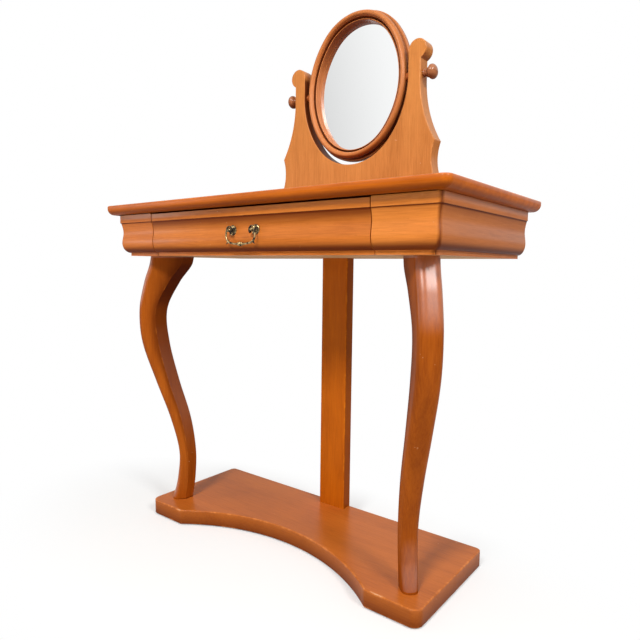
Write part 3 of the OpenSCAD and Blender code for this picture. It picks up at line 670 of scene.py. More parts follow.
@dataclass(frozen=True)
class StainedWood:
    """Beech with a warm brown stain under a satin lacquer, paler where edges are rubbed.

    The tones deep to rubbed are factors of the stain's own tone, and the painted shade tone is that
    of painted shade. The sheen by tilt holds the tilts between which the lacquer coat grows thick, a
    painted sheen on faces that look up, and its share where faces look down. The values that end in
    an edge are those between which a pattern sets in.
    """

    name: str
    tone: Colour
    grain: Grain = Grain.X
    shift: Triple = (0.0, 0.0, 0.0)
    streaks: float = 0.5
    mottle: float = 0.5
    wear: float = 0.6
    scuffs: float = 0.5
    roughness: float = 0.40
    shine: float = 0.03
    lacquer: float = 0.45
    gloss: float = 0.28
    glaze: float = 1.5
    sheen_by_tilt: Triple = (-0.10, 0.10, 0.12)
    wander: Pattern = Pattern(2.5, 9.0, 2.0)
    streak: Pattern = Pattern(2.2, 46.0, 5.0, 0.55, 0.6)
    band: Pattern = Pattern(0.8, 13.0, 2.0, 0.5, 1.2)
    fibre: Pattern = Pattern(20.0, 420.0, 3.0, 0.6)
    fleck: Pattern = Pattern(95.0, 1300.0, 2.0)
    cloud: Pattern = Pattern(7.0, 7.0, 3.0, 0.55)
    rub: Pattern = Pattern(38.0, 38.0, 4.0, 0.65)
    spot: Pattern = Pattern(64.0, 64.0, 3.0, 0.7, shift=(3.1, 1.7, 0.4))
    fleck_edge: Pair = (0.64, 0.74)
    fibre_edge: Pair = (0.42, 0.62)
    under_edge: Pair = (-0.75, -0.06)
    rub_edge: Pair = (0.40, 0.72)
    thin_edge: Pair = (0.15, 1.0)
    chip_edge: Pair = (0.60, 0.66)
    spot_edge: Pair = (0.735, 0.75)
    under_shade: float = 0.55
    pore_depth: float = 0.5
    grain_relief: float = 0.00004
    cloud_relief: float = 0.0009
    deep: Colour = (0.62, 0.52, 0.40)
    pale: Colour = (1.26, 1.38, 1.5)
    pore: Colour = (0.36, 0.26, 0.18)
    painted_shade_tone: Colour = (0.26, 0.17, 0.16)
    rubbed: Colour = (1.45, 1.85, 3.2)
    chipped: Colour = stain(220, 172, 130)

    def material(self) -> Material:
        """Streaks and short fibres along the grain, clouds of stain, small pores and rubbed edges.

        Painted shade darkens the colour where the points carry shade and under faces that look down,
        and thins the coat there. Rubbed edges are paler, and chips show where they are rubbed most, and
        as a few scuffs elsewhere.

        Returns:
            The material.
        """
        recipe = Recipe(bpy.data.materials.new(self.name))
        if self.grain is Grain.RING:
            recipe.base = recipe.value("ShaderNodeUVMap", {"uv_map": "grain"}, {})
        recipe.base = recipe.stretched(1.0, self.shift)
        along = self.wander, self.streak, self.band, self.fibre, self.fleck
        wander, streak, band, fibre, fleck = (pattern.on(recipe, self.grain) for pattern in along)
        around = self.cloud, self.rub, self.spot
        cloud, rub, spot = (pattern.on(recipe, self.grain) for pattern in around)
        tilt, shade, worn = (recipe.attribute(name) for name in ("tilt", "shade", "wear"))
        share = (
            0.5
            + self.streaks * (streak - 0.5) * 1.5
            + self.streaks * (band - 0.5) * 0.9
            + self.mottle * (cloud - 0.5) * 1.1
            + (fibre - 0.5) * 0.8
            + (wander - 0.5) * 0.4
        )
        stops = [(0.0, toned(self.tone, self.deep)), (0.5, self.tone), (1.0, toned(self.tone, self.pale))]
        pores = fleck.ramp(*self.fleck_edge) * fibre.ramp(*self.fibre_edge)
        # painted shade: darker where the points carry shade and under faces that look down
        painted_shade = (shade + tilt.ramp(*self.under_edge, self.under_shade, 0.0)).ramp(0.0, 1.0)
        thin = (worn * (rub.ramp(*self.rub_edge) * 0.75 + 0.25)).ramp(*self.thin_edge) * self.wear
        scuff = spot.ramp(*self.spot_edge) * self.scuffs
        chip = ((worn * rub).ramp(*self.chip_edge) * self.wear).most(scuff)
        colour = recipe.blend(share, stops)
        colour = recipe.mix(pores * self.pore_depth, colour, toned(self.tone, self.pore))
        colour = recipe.mix(painted_shade, colour, toned(self.tone, self.painted_shade_tone))
        colour = recipe.mix(thin, colour, toned(self.tone, self.rubbed))
        colour = recipe.mix(chip, colour, self.chipped)
        height = fibre * 0.5 + streak * 0.5 - pores * 1.2 - chip * 2.0
        rough = self.roughness + (cloud - 0.5) * 0.16 + (fibre - 0.5) * 0.10 + pores * 0.2 + chip * 0.3
        low, high, least = self.sheen_by_tilt
        return recipe.surface(
            {
                "Base Color": colour,
                "Roughness": rough,
                "Specular IOR Level": self.shine,
                # painted sheen: the coat grows on faces that look up and thins under painted shade
                "Coat Weight": tilt.ramp(low, high, least, 1.0) * self.lacquer * (1.0 - shade * 0.8),
                "Coat Roughness": self.gloss,
                "Coat IOR": self.glaze,
                "Normal": recipe.bump(height, self.grain_relief, recipe.bump(cloud, self.cloud_relief)),
            }
        )


@dataclass(frozen=True)
class BareWood:
    """Planed softwood or beech that never saw stain, as inside a case."""

    name: str
    tone: Colour
    grain: Grain = Grain.X
    streak: Pattern = Pattern(1.8, 60.0, 4.0, 0.55, 0.8)
    fibre: Pattern = Pattern(30.0, 700.0, 2.0)
    saw: Pattern = Pattern(420.0, 6.0, 1.0)
    line: Colour = (0.66, 0.55, 0.42)

    def material(self) -> Material:
        """Pale growth streaks, fine saw marks across them and a few darker lines.

        Returns:
            The material.
        """
        recipe = Recipe(bpy.data.materials.new(self.name))
        patterns = self.streak, self.fibre, self.saw
        streak, fibre, saw = (pattern.on(recipe, self.grain) for pattern in patterns)
        stops = [(0.25, toned(self.tone, self.line)), (0.75, self.tone)]
        return recipe.surface(
            {
                "Base Color": recipe.blend(streak * 0.8 + fibre * 0.2, stops),
                "Roughness": 0.72 + (fibre - 0.5) * 0.2,
                "Specular IOR Level": 0.3,
                "Normal": recipe.bump(saw * 0.4 + fibre * 0.6, 0.00008),
            }
        )


@dataclass(frozen=True)
class Metal:
    """Cast or turned metal with a patina in its hollows."""

    name: str
    bright: Colour
    patina: Colour
    share: float
    roughness: float

    def material(self) -> Material:
        """Patina in clouds over brighter metal, with a fine hammered grain.

        Returns:
            The material.
        """
        recipe = Recipe(bpy.data.materials.new(self.name))
        cloud, grit = recipe.noise(160.0, 4.0, 0.6), recipe.noise(1400.0, 2.0)
        worn, shade = recipe.attribute("wear"), recipe.attribute("shade")
        level = cloud + (grit - 0.5) * 0.3 - worn * 0.25 + shade * 0.4
        dark = level.ramp(0.62 - self.share * 0.45, 0.78 - self.share * 0.35)
        return recipe.surface(
            {
                "Base Color": recipe.mix(dark, self.bright, self.patina),
                "Metallic": 1.0 - dark * 0.35,
                "Roughness": self.roughness + dark * 0.22 + (grit - 0.5) * 0.15,
                "Normal": recipe.bump(cloud * 0.7 + grit * 0.3, 0.00012),
            }
        )


@dataclass(frozen=True)
class Silvering:
    """Mirror glass: bright, with the faintest waviness and a little dust."""

    name: str = "mirror_glass"
    silver: Colour = stain(250, 251, 251)
    dust: Colour = stain(214, 214, 212)

    def material(self) -> Material:
        """Bright silver with a trace of haze.

        Returns:
            The material.
        """
        recipe = Recipe(bpy.data.materials.new(self.name))
        dust, haze = recipe.noise(900.0, 3.0, 0.6), recipe.noise(9.0, 2.0)
        return recipe.surface(
            {
                "Base Color": recipe.mix(dust.ramp(0.66, 0.8) * 0.10, self.silver, self.dust),
                "Metallic": 1.0,
                "Roughness": 0.015 + haze * 0.02,
                "Normal": recipe.bump(haze, 0.00002),
            }
        )


@dataclass(frozen=True)
class Felt:
    """Pressed dark felt."""

    name: str = "felt_pads"
    tone: Colour = stain(64, 50, 42)

    def material(self) -> Material:
        """Tangled short fibres.

        Returns:
            The material.
        """
        recipe = Recipe(bpy.data.materials.new(self.name))
        fuzz = recipe.noise((1500.0, 1500.0, 900.0), 3.0, 0.7, 1.5)
        colour = recipe.mix(fuzz, toned(self.tone, (0.6, 0.6, 0.6)), toned(self.tone, (1.6, 1.6, 1.6)))
        return recipe.surface({"Base Color": colour, "Roughness": 0.95, "Normal": recipe.bump(fuzz, 0.0004)})


@dataclass
class Tabletop:
    """Board with a quarter round under a small round on three edges, and a flat rear edge."""

    extent: Extent = field(default_factory=lambda: Extent.of("tabletop"))
    edge_depth: float = 16.0
    arris: float = 3.5
    nose_wear_and_highlight: tuple[float, ...] = (0.25, 0.4, 0.6, 0.8, 1.0, 0.8, 0.5, 0.3)
    end_sheen: float = 0.4

    def outline(self) -> tuple[Array, Array]:
        """Outer outline and its steps inwards; the rear corners only move along the rear edge.

        Returns:
            Points and steps, both of shape (n, 2).
        """
        depth, (right, rear, _) = self.edge_depth, self.extent.high
        middle = np.array([right - depth, self.extent.low[1] + depth])
        corner = circle_line(middle, depth, 270, 360, 10)
        steps = (middle - corner) / depth
        other, other_steps = corner[::-1] * [-1, 1], steps[::-1] * [-1, 1]
        outline = np.concatenate([[[-right, rear]], other, corner, [[right, rear]]])
        return outline, np.concatenate([[[1.0, 0.0]], other_steps, steps, [[-1.0, 0.0]]])

    def build(self) -> Object:
        """Stacks the outline from the underside, round the moulded edge, to the top.

        The upper arris is rubbed, and its pale line is also a painted highlight; the two ends are
        paler than the front, as a painted sheen.

        Returns:
            The board.
        """
        underside, thickness = self.extent.low[2], self.extent.high[2] - self.extent.low[2]
        depth, r = self.edge_depth, self.arris
        lower = thickness - 2 * r
        cove = arc_line((0, lower), (depth, lower), -88, 0, 14)
        nose = circle_line((depth - r, thickness - r), r, 0, 90, 6)
        line = np.concatenate([[[-14, 0]], cove, [[depth, lower + 1.5]], nose, [[depth - 8, thickness]]])
        flat_in = depth - 0.4
        step = depth - line[:, 0]
        step = np.where(step > flat_in, flat_in + (step - depth).clip(0), step)
        worn = np.concatenate([np.zeros(len(cove) + 1), self.nose_wear_and_highlight, [0.0]])
        outline, steps = self.outline()
        # painted sheen: the two ends are mixed towards the rubbed tone
        ends = self.end_sheen * np.abs(steps[:, 0]) ** 3 * (line[:, 0] > 2)[:, None]
        loops = edge_loops(outline, steps, np.stack([step, line[:, 1] + underside], -1))
        return Skin().add(loops, np.maximum(worn[:, None], ends)).piece("tabletop_board")


@dataclass
class Frieze:
    """Moulding round the case: flat band, quirk, hollow, belly and fillet, mitred at the corners."""

    band_x: float = 429.0
    band_y: float = -196.0
    bottom: float = 661.0
    height: float = 97.0
    band_h: float = 19.0
    fillet_h: float = 7.0
    fillet_in: float = 17.5
    quirk: float = 1.5
    hollow_in: float = 5.0
    hollow_z: float = 55.0
    belly_in: float = 2.6
    belly_z: float = 31.0
    corner_r: float = 8.0
    case_x: float = 403.0
    case_y: float = -160.0
    rear: float = 206.0
    block_x: float = 300.0
    straight_x: float = 360.0
    softness: float = 0.6
    corner_steps: int = 8
    sharp: float = 28.0
    band_wear: float = 0.35
    fillet_wear: float = 0.45
    block_shade: float = 0.1
    rail_shade: float = 0.3
    drawer_shade: float = 0.65
    roll_shade: float = 0.5
    quirk_shade: float = 0.3
    mitre_shade: float = 0.75
    fillet_painted_light: float = 0.5
    mitre_reach: float = 10.0

    def profile(self, top_gap: float = 0.0) -> Array:
        """Section of the moulding: distance behind the band, and height above the bottom.

        The hollow falls back with a sine, the belly comes out with a cosine, and rolls under
        with a quarter of an ellipse.

        Args:
            top_gap: How far the section ends below the top of the band.

        Returns:
            Points of shape (n, 2), from the top down.
        """
        z0, top = self.height - self.band_h, self.height - top_gap
        u = np.linspace(0, 1, 13)
        quarter = np.pi / 2 * u
        fall = self.quirk + (self.hollow_in - self.quirk) * np.sin(quarter)
        swell = self.belly_in + (self.hollow_in - self.belly_in) * (1 + np.cos(np.pi * u)) / 2
        tuck = self.belly_in + (self.fillet_in - self.belly_in) * (1 - np.cos(quarter))
        band = [[self.softness, top], [0.0, top - self.softness], [0.0, z0 + 0.8], [0.5, z0]]
        hollow = np.stack([fall, z0 + (self.hollow_z - z0) * u], -1)
        belly = np.stack([swell, self.hollow_z + (self.belly_z - self.hollow_z) * u], -1)
        under = np.stack([tuck, self.belly_z + (self.fillet_h - self.belly_z) * np.sin(quarter)], -1)
        return np.concatenate([band, hollow, belly[1:], under[1:], [[self.fillet_in, 0.0]]])

    def along_front(self, places: Array, profile: Array, depth: float) -> Array:
        """Carries the section straight along the front, closed by its flat back.

        Args:
            places: Place of each loop along the front.
            profile: Section of the moulding.
            depth: Place of the flat back.

        Returns:
            Loops of shape (stations, points, 3).
        """
        face = np.stack([self.band_y + profile[:, 0], self.bottom + profile[:, 1]], -1)
        back = np.array([[depth, self.bottom], [depth, self.bottom + profile[0, 1]]])
        section = np.concatenate([face, back])
        x = np.broadcast_to(places[:, None, None], (len(places), len(section), 1))
        return np.concatenate([x, np.broadcast_to(section, (len(places),) + section.shape)], -1)

    def round_corner(self, start: float, end: float, profile: Array) -> Array:
        """Carries the section round a half of the right front corner.

        A point at an angle from the side's normal lies on a circle whose centre moves in with
        the section, so that every level keeps the same corner radius. The points behind move
        forward towards the mitre, where the blocks meet the rails.

        Args:
            start: Angle of the first station, in degrees, 0 at the side and 90 at the front.
            end: Angle of the last station.
            profile: Section of the moulding.

        Returns:
            Loops of shape (stations, section points, 3).
        """
        angles = np.linspace(start, end, self.corner_steps)
        turn = np.radians(angles)[:, None]
        forward = self.mitre_reach * (1 - np.abs(angles - 45) / 45)
        back = np.stack([np.full_like(angles, self.case_x), self.case_y - forward], -1)
        x = self.band_x - profile[:, 0] - self.corner_r + self.corner_r * np.cos(turn)
        y = self.band_y + profile[:, 0] + self.corner_r - self.corner_r * np.sin(turn)
        z = np.broadcast_to(self.bottom + profile[:, 1], x.shape)
        face = np.stack([x, y, z], -1)
        low = np.concatenate([back, np.full((len(back), 1), self.bottom)], -1)
        high = low + [0, 0, profile[0, 1]]
        return np.concatenate([face, low[:, None], high[:, None]], axis=1)

    def block(self) -> Array:
        """Loops of the right block, from the drawer's opening to the mitre.

        Returns:
            Loops of shape (stations, points, 3).
        """
        profile = self.profile()
        places = np.array([self.block_x, self.block_x + self.softness, self.straight_x])
        straight = self.along_front(places, profile, self.case_y)
        straight[0, : len(profile), 1] += self.softness
        return np.concatenate([straight, self.round_corner(90, 45, profile)])

    def rail(self) -> Array:
        """Loops of the right side rail, from the mitre to the rear.

        Returns:
            Loops of shape (stations, points, 3).
        """
        profile = self.profile()
        corner = self.round_corner(45, 0, profile)
        ends = np.repeat(corner[-1:], 2, axis=0)
        ends[0, :, 1] = self.rear - self.softness
        ends[1, :, 1] = self.rear
        ends[1, : len(profile), 0] -= self.softness
        return np.concatenate([corner, ends])

    def worn(self, loops: Array) -> Array:
        """Weight of wear: over the band below its upper arris, and on the fillet.

        Args:
            loops: Loops of the moulding.

        Returns:
            Weights of shape (loops, points).
        """
        weight = np.zeros(loops.shape[:2])
        weight[:, 1:4] = self.band_wear
        weight[:, -4:-2] = self.fillet_wear
        return weight

    def painted_shade(self, loops: Array, depth: float, along: Array) -> Array:
        """Painted shade in the hollow, the quirk above it and under the belly; painted light on the fillet.

        Args:
            loops: Loops of the moulding.
            depth: Weight in the hollow under the band.
            along: Least weight above the fillet at each loop, for the painted shade at the mitre and joints.

        Returns:
            Weights of shape (loops, points).
        """
        height = loops[..., 2] - self.bottom
        top = self.height - self.band_h
        above_fillet = height > self.fillet_h + 0.4
        hollow = np.clip((height - self.hollow_z + 6) / (top - self.hollow_z), 0, 1) * depth
        roll = np.clip((self.belly_z - 4 - height) / 16, 0, 1) * above_fillet * self.roll_shade
        quirk = self.quirk_shade * (height > top - 2.5)
        shade = np.where(height < top + 0.4, hollow + roll + quirk, 0.0)
        # painted light: the fillet's shade drops below none, which cancels the shade under faces looking down
        # and thickens the coat
        return np.maximum(shade, np.reshape(along, (-1, 1))) - self.fillet_painted_light * ~above_fillet

    def moulded(self, name: str, loops: Array, depth: float, along: Array) -> Object:
        """Makes the mesh of a length of the moulding, worn and shaded."""
        return Skin().add(loops, self.worn(loops), self.painted_shade(loops, depth, along)).piece(name, self.sharp)

    def build(self, fronts: dict[str, StainedWood], side: StainedWood) -> list[Object]:
        """Makes the two blocks and the two side rails.

        Args:
            fronts: Finish of the left and of the right block, each with its own grain, toned darker on
                the left and lighter on the right as painted shade and painted light.
            side: Finish of the rails.

        Returns:
            The four pieces.
        """
        block, rail, rail_wood = self.block(), self.rail(), side.material()
        # painted shade: a dark strip over the rounded corner, darkest at the mitre
        corner = np.linspace(0.0, self.mitre_shade, self.corner_steps)
        on_block = np.concatenate([np.zeros(len(block) - len(corner)), corner])
        on_rail = np.concatenate([corner[::-1], np.zeros(len(rail) - len(corner))])
        pieces = []
        for name, turn in SIDES.items():
            made = self.moulded(f"moulded_block_{name}", turn(block), self.block_shade, on_block)
            wood = fronts[name].material()
            pieces.append(place(made, "table", "stained_wood", wood, f"frieze_block_{name}"))
            made = self.moulded(f"moulded_rail_{name}", turn(rail), self.rail_shade, on_rail)
            pieces.append(place(made, "table", "stained_wood", rail_wood, f"side_rail_{name}"))
        return pieces

    def drawer(self, finish: StainedWood) -> Object:
        """Makes the drawer front, with its ends softened and painted shade at the joints.

        Each station holds a place along the front, how far it is sunk, and its painted shade, which
        is deepest at the left joint.

        Args:
            finish: Its stained wood.

        Returns:
            The drawer front.
        """
        half, _, top = Extent.of("drawer_front").high
        profile = self.profile(self.bottom + self.height - top)
        stations = [
            [-half, 1.2, 1.0],
            [-half + 0.3, 0.35, 1.0],
            [-half + 1.2, 0.0, 0.9],
            [-half + 2.4, 0.0, 0.0],
            [half - 1.2, 0.0, 0.0],
            [half - 0.3, 0.35, 0.3],
            [half, 1.2, 0.5],
        ]
        places, sunk, joint = np.array(stations).T
        loops = self.along_front(places, profile, self.case_y)
        loops[:, : len(profile), 1] += sunk[:, None]
        made = self.moulded("moulded_drawer_front", loops, self.drawer_shade, joint)
        return place(made, "drawer", "stained_wood", finish.material(), "drawer_front")


@dataclass
class Legs:
    """S-shaped front legs, each in a plane turned 45 degrees towards its front corner."""

    x: float = 327.0
    y: float = -84.0
    foot_z: float = 38.0
    length: float = 623.0
    knee_reach: float = 106.0
    foot_width: float = 32.0
    knee_width: float = 46.0
    foot_round: float = 13.0
    knee_round: float = 15.0
    ridge_share: float = 1.1
    arris: float = 1.6
    full_at: float = 0.75
    levels: int = 130
    foot_shade: float = 0.15
    knee_shade: float = 0.5
    foot_wear: float = 0.8
    foot_rim: float = 8.0
    corner_wear: tuple[float, ...] = (0.55, 0.8, 0.0, 0.0, 0.8)
    corner_shade: tuple[float, ...] = (1.0, 1.0, 0.0, 0.0, 1.0)
    stations: Array = field(
        default_factory=lambda: np.array(
            [
                [0.000, 0.29, -2], [0.090, 0.17, -8], [0.200, 0.13, -8], [0.340, 0.32, 6], [0.500, 0.65, 36],
                [0.660, 0.95, 60], [0.790, 1.00, 64], [0.900, 0.88, 32], [0.965, 0.76, 3], [1.000, 0.72, -3],
            ]
        )
    )

    def right(self) -> tuple[Array, Array, Array]:
        """Loops of the right leg from foot to case, the wear of one loop's points, and its painted shade.

        Each level is a five-sided section: a ridge behind, two flat sides and a rounded front.
        A station holds a share of the height, the front's share of the knee's reach, and the
        rear's place. Front and rear follow smooth curves through them, and the width and the
        front's rounding grow with the sine of the height until they are full.

        Returns:
            Loops of shape (levels, points, 3), wear (points) and shade (levels, points).
        """
        share = np.linspace(0, 1, self.levels + 1)
        front, back = smooth_line(self.stations, self.levels).T
        front = front * self.knee_reach
        grow = np.sin(np.pi / 2 * np.minimum(1, share / self.full_at))
        half = (self.foot_width + (self.knee_width - self.foot_width) * grow) / 2
        r = self.foot_round + (self.knee_round - self.foot_round) * grow
        arris = np.full_like(half, self.arris)
        depths = np.stack([back - self.ridge_share * half, back, front, front, back], axis=1)
        sides = np.stack([np.zeros_like(half), -half, -half, half, half], axis=1)
        corners = np.stack([depths, sides], axis=-1)
        radii = np.stack([arris, arris, r, r, arris], axis=-1)
        section, worn = self.soft_section(corners, radii)
        s, q = section[..., 0], section[..., 1]
        turn = math.sqrt(0.5)
        z = np.broadcast_to((self.foot_z + self.length * share)[:, None], s.shape)
        # painted shade on the corners behind, deeper towards the case above
        behind = np.repeat(self.corner_shade, len(worn) // len(self.corner_shade))
        shade = behind * (self.foot_shade + self.knee_shade * grow[:, None])
        return np.stack([self.x + (s + q) * turn, self.y + (q - s) * turn, z], -1), worn, shade

    def soft_section(self, corners: Array, radii: Array) -> tuple[Array, Array]:
        """Rounds the corners level by level; only the small arrises behind wear.

        Args:
            corners: Corners of shape (levels, 5, 2).
            radii: Radii of shape (levels, 5).

        Returns:
            Points of shape (levels, points, 2), and the wear of one level's points.
        """
        levels = [rounded(corners[k : k + 1], radii[k], 6, 2.5) for k in range(len(corners))]
        worn = levels[0][1].reshape(len(self.corner_wear), -1) * np.array(self.corner_wear)[:, None]
        return np.concatenate([level[0] for level in levels]), worn.ravel()

    def build(self, finish: StainedWood) -> list[Object]:
        """Makes both legs, with a rubbed line round the foot.

        Args:
            finish: Their stained wood.

        Returns:
            The two legs.
        """
        loops, worn, shade = self.right()
        foot = np.clip(1 - (loops[:, :, 2] - self.foot_z) / self.foot_rim, 0, 1) * self.foot_wear
        wood = finish.material()
        pieces = []
        for side, turn in SIDES.items():
            made = Skin().add(turn(loops), np.maximum(worn[None, :], foot), shade)
            made = made.piece(f"carved_leg_{side}", 40)
            pieces.append(place(made, "table", "stained_wood", wood, f"leg_{side}"))
        return pieces


@dataclass
class Plinth:
    """Board on the floor with rounded corners and an arc between two points at its front."""

    extent: Extent = field(default_factory=lambda: Extent.of("plinth"))
    arc_half: float = 270.0
    arc_depth: float = 93.0
    front_round: float = 20.0
    rear_round: float = 12.0
    arris: float = 1.8
    blunt: float = 0.22
    point: float = 2.0
    edge_wear: float = 0.7
    tip_wear: float = 1.3
    corner_wear: float = 1.15
    side_wear: float = 0.9
    edge_shade: float = 0.3
    low_shade: float = 0.5

    def outline(self) -> Array:
        """Rounded corners joined by straight sides, and the arc between its two points.

        The arc stops short of each point by the blunt angle, and the side by the point's width.

        Returns:
            Points of shape (n, 2).
        """
        (right, rear_y, _), front_y = self.extent.high, self.extent.low[1]
        radius = (self.arc_half**2 + self.arc_depth**2) / (2 * self.arc_depth)
        centre = front_y + self.arc_depth - radius
        reach = math.degrees(math.asin(self.arc_half / radius))
        arc = circle_line((0, centre), radius, 90 + reach - self.blunt, 90 - reach + self.blunt, 72)
        a, b = right - self.front_round, right - self.rear_round
        front, rear = front_y + self.front_round, rear_y - self.rear_round
        return np.concatenate(
            [
                circle_line((-b, rear), self.rear_round, 90, 180, 8),
                circle_line((-a, front), self.front_round, 180, 270, 10),
                [[-self.arc_half - self.point, front_y]],
                arc,
                [[self.arc_half + self.point, front_y]],
                circle_line((a, front), self.front_round, 270, 360, 10),
                circle_line((b, rear), self.rear_round, 0, 90, 8),
            ]
        )

    def build(self) -> Object:
        """Stacks the outline with a small round above and below.

        The rounds are rubbed, most at the points and the front corners, and the edge carries
        painted shade that grows towards the floor.

        Returns:
            The board.
        """
        outline = self.outline()
        r, bottom, top = self.arris, self.extent.low[2], self.extent.high[2]
        low = circle_line((r, bottom + r), r, 270, 180, 4)
        high = circle_line((r, top - r), r, 180, 90, 5)
        edge = np.concatenate([[[8, bottom]], low, [[0, bottom + 6]], [[0, top - 6]], high, [[7.5, top]]])
        upper = np.linspace(self.edge_wear, 1, len(high))
        worn = np.concatenate([[0.0], np.full(len(low), self.edge_wear), [0.0, 0.0], upper, [0.0]])
        from_corner = np.abs(outline - [0, self.extent.low[1]]) - [self.extent.high[0], 0]
        tips = np.abs(np.abs(outline[:, 0]) - self.arc_half) < 2 * self.point
        corner = (np.abs(from_corner) < self.front_round - 1).all(axis=1)
        strong = np.where(tips, self.tip_wear, np.where(corner, self.corner_wear, self.side_wear))
        loops = edge_loops(outline, inward(outline), edge)
        depth = np.clip((top - 3 - edge[:, 1]) / (top - bottom), 0, 1)
        # painted shade on the edge, deeper towards the floor
        shade = np.where(edge[:, 1] < top - 1, self.edge_shade + self.low_shade * depth, 0.0)
        return Skin().add(loops, worn[:, None] * strong[None, :], shade[:, None]).piece("plinth_board")


@dataclass
class RearPost:
    """Flat post from the plinth to the case."""

    extent: Extent = field(default_factory=lambda: Extent.of("rear_post"))
    arris: float = 2.0
    edge_wear: float = 0.8
    foot_wear: float = 0.75
    side_shade: float = 0.5

    def build(self) -> Object:
        """Carries the softened rectangle up from foot to case.

        The arrises and the foot are rubbed, and the two narrow sides carry painted shade.

        Returns:
            The post.
        """
        (left, front, foot), (right, rear, top) = self.extent.low, self.extent.high
        corners = np.array([[[left, front], [right, front], [right, rear], [left, rear]]])
        section, worn = rounded(corners, [self.arris] * 4, 4, 4.0)
        z = np.concatenate([[foot, foot + 0.8, foot + 6], np.linspace(foot + 30, top - 8, 12), [top]])
        flat = np.broadcast_to(section, (len(z),) + section.shape[1:])
        loops = np.concatenate([flat, np.broadcast_to(z[:, None, None], flat.shape[:2] + (1,))], -1)
        rubbed = np.where(z < foot + 3, self.foot_wear, 0.0)[:, None]
        shade = self.side_shade * (right - np.abs(loops[..., 0]) < 0.3)
        wear = np.maximum(worn[None, :] * self.edge_wear, rubbed)
        return Skin().add(loops, wear, shade).piece("post_board")


@dataclass
class Oval:
    """Four-centred oval of the mirror: wide arcs at the sides and tight arcs at the ends."""

    half_width: float = 148.0
    half_height: float = 181.0
    tip_r: float = 130.0

    def __post_init__(self) -> None:
        """Works out the side arcs that meet the tip arcs smoothly."""
        gap = self.half_height - self.tip_r
        self.side_r = (self.half_width**2 + gap**2 - self.tip_r**2) / (2 * (self.half_width - self.tip_r))
        self.side_centre = self.side_r - self.half_width
        self.tip_centre = gap
        self.join = math.atan2(self.tip_centre, self.side_centre)

    def line(self, angles: Array, grow: Union[float, Array] = 0.0) -> Array:
        """Points where the oval's normal has these angles, on the oval grown by a distance.

        A point is the centre of its arc plus the arc's radius and the growth along the normal.

        Args:
            angles: Angles of the normal, in radians.
            grow: Distance outwards.

        Returns:
            Points, with their place across and their height in the last axis.
        """
        cos, sin = np.cos(angles), np.sin(angles)
        side = np.abs(sin) < math.sin(self.join)
        cx = np.where(side, -np.sign(cos) * self.side_centre, 0.0)
        cz = np.where(side, 0.0, np.sign(sin) * self.tip_centre)
        radius = np.where(side, self.side_r, self.tip_r) + grow
        return np.stack(np.broadcast_arrays(cx + radius * cos, cz + radius * sin), -1)


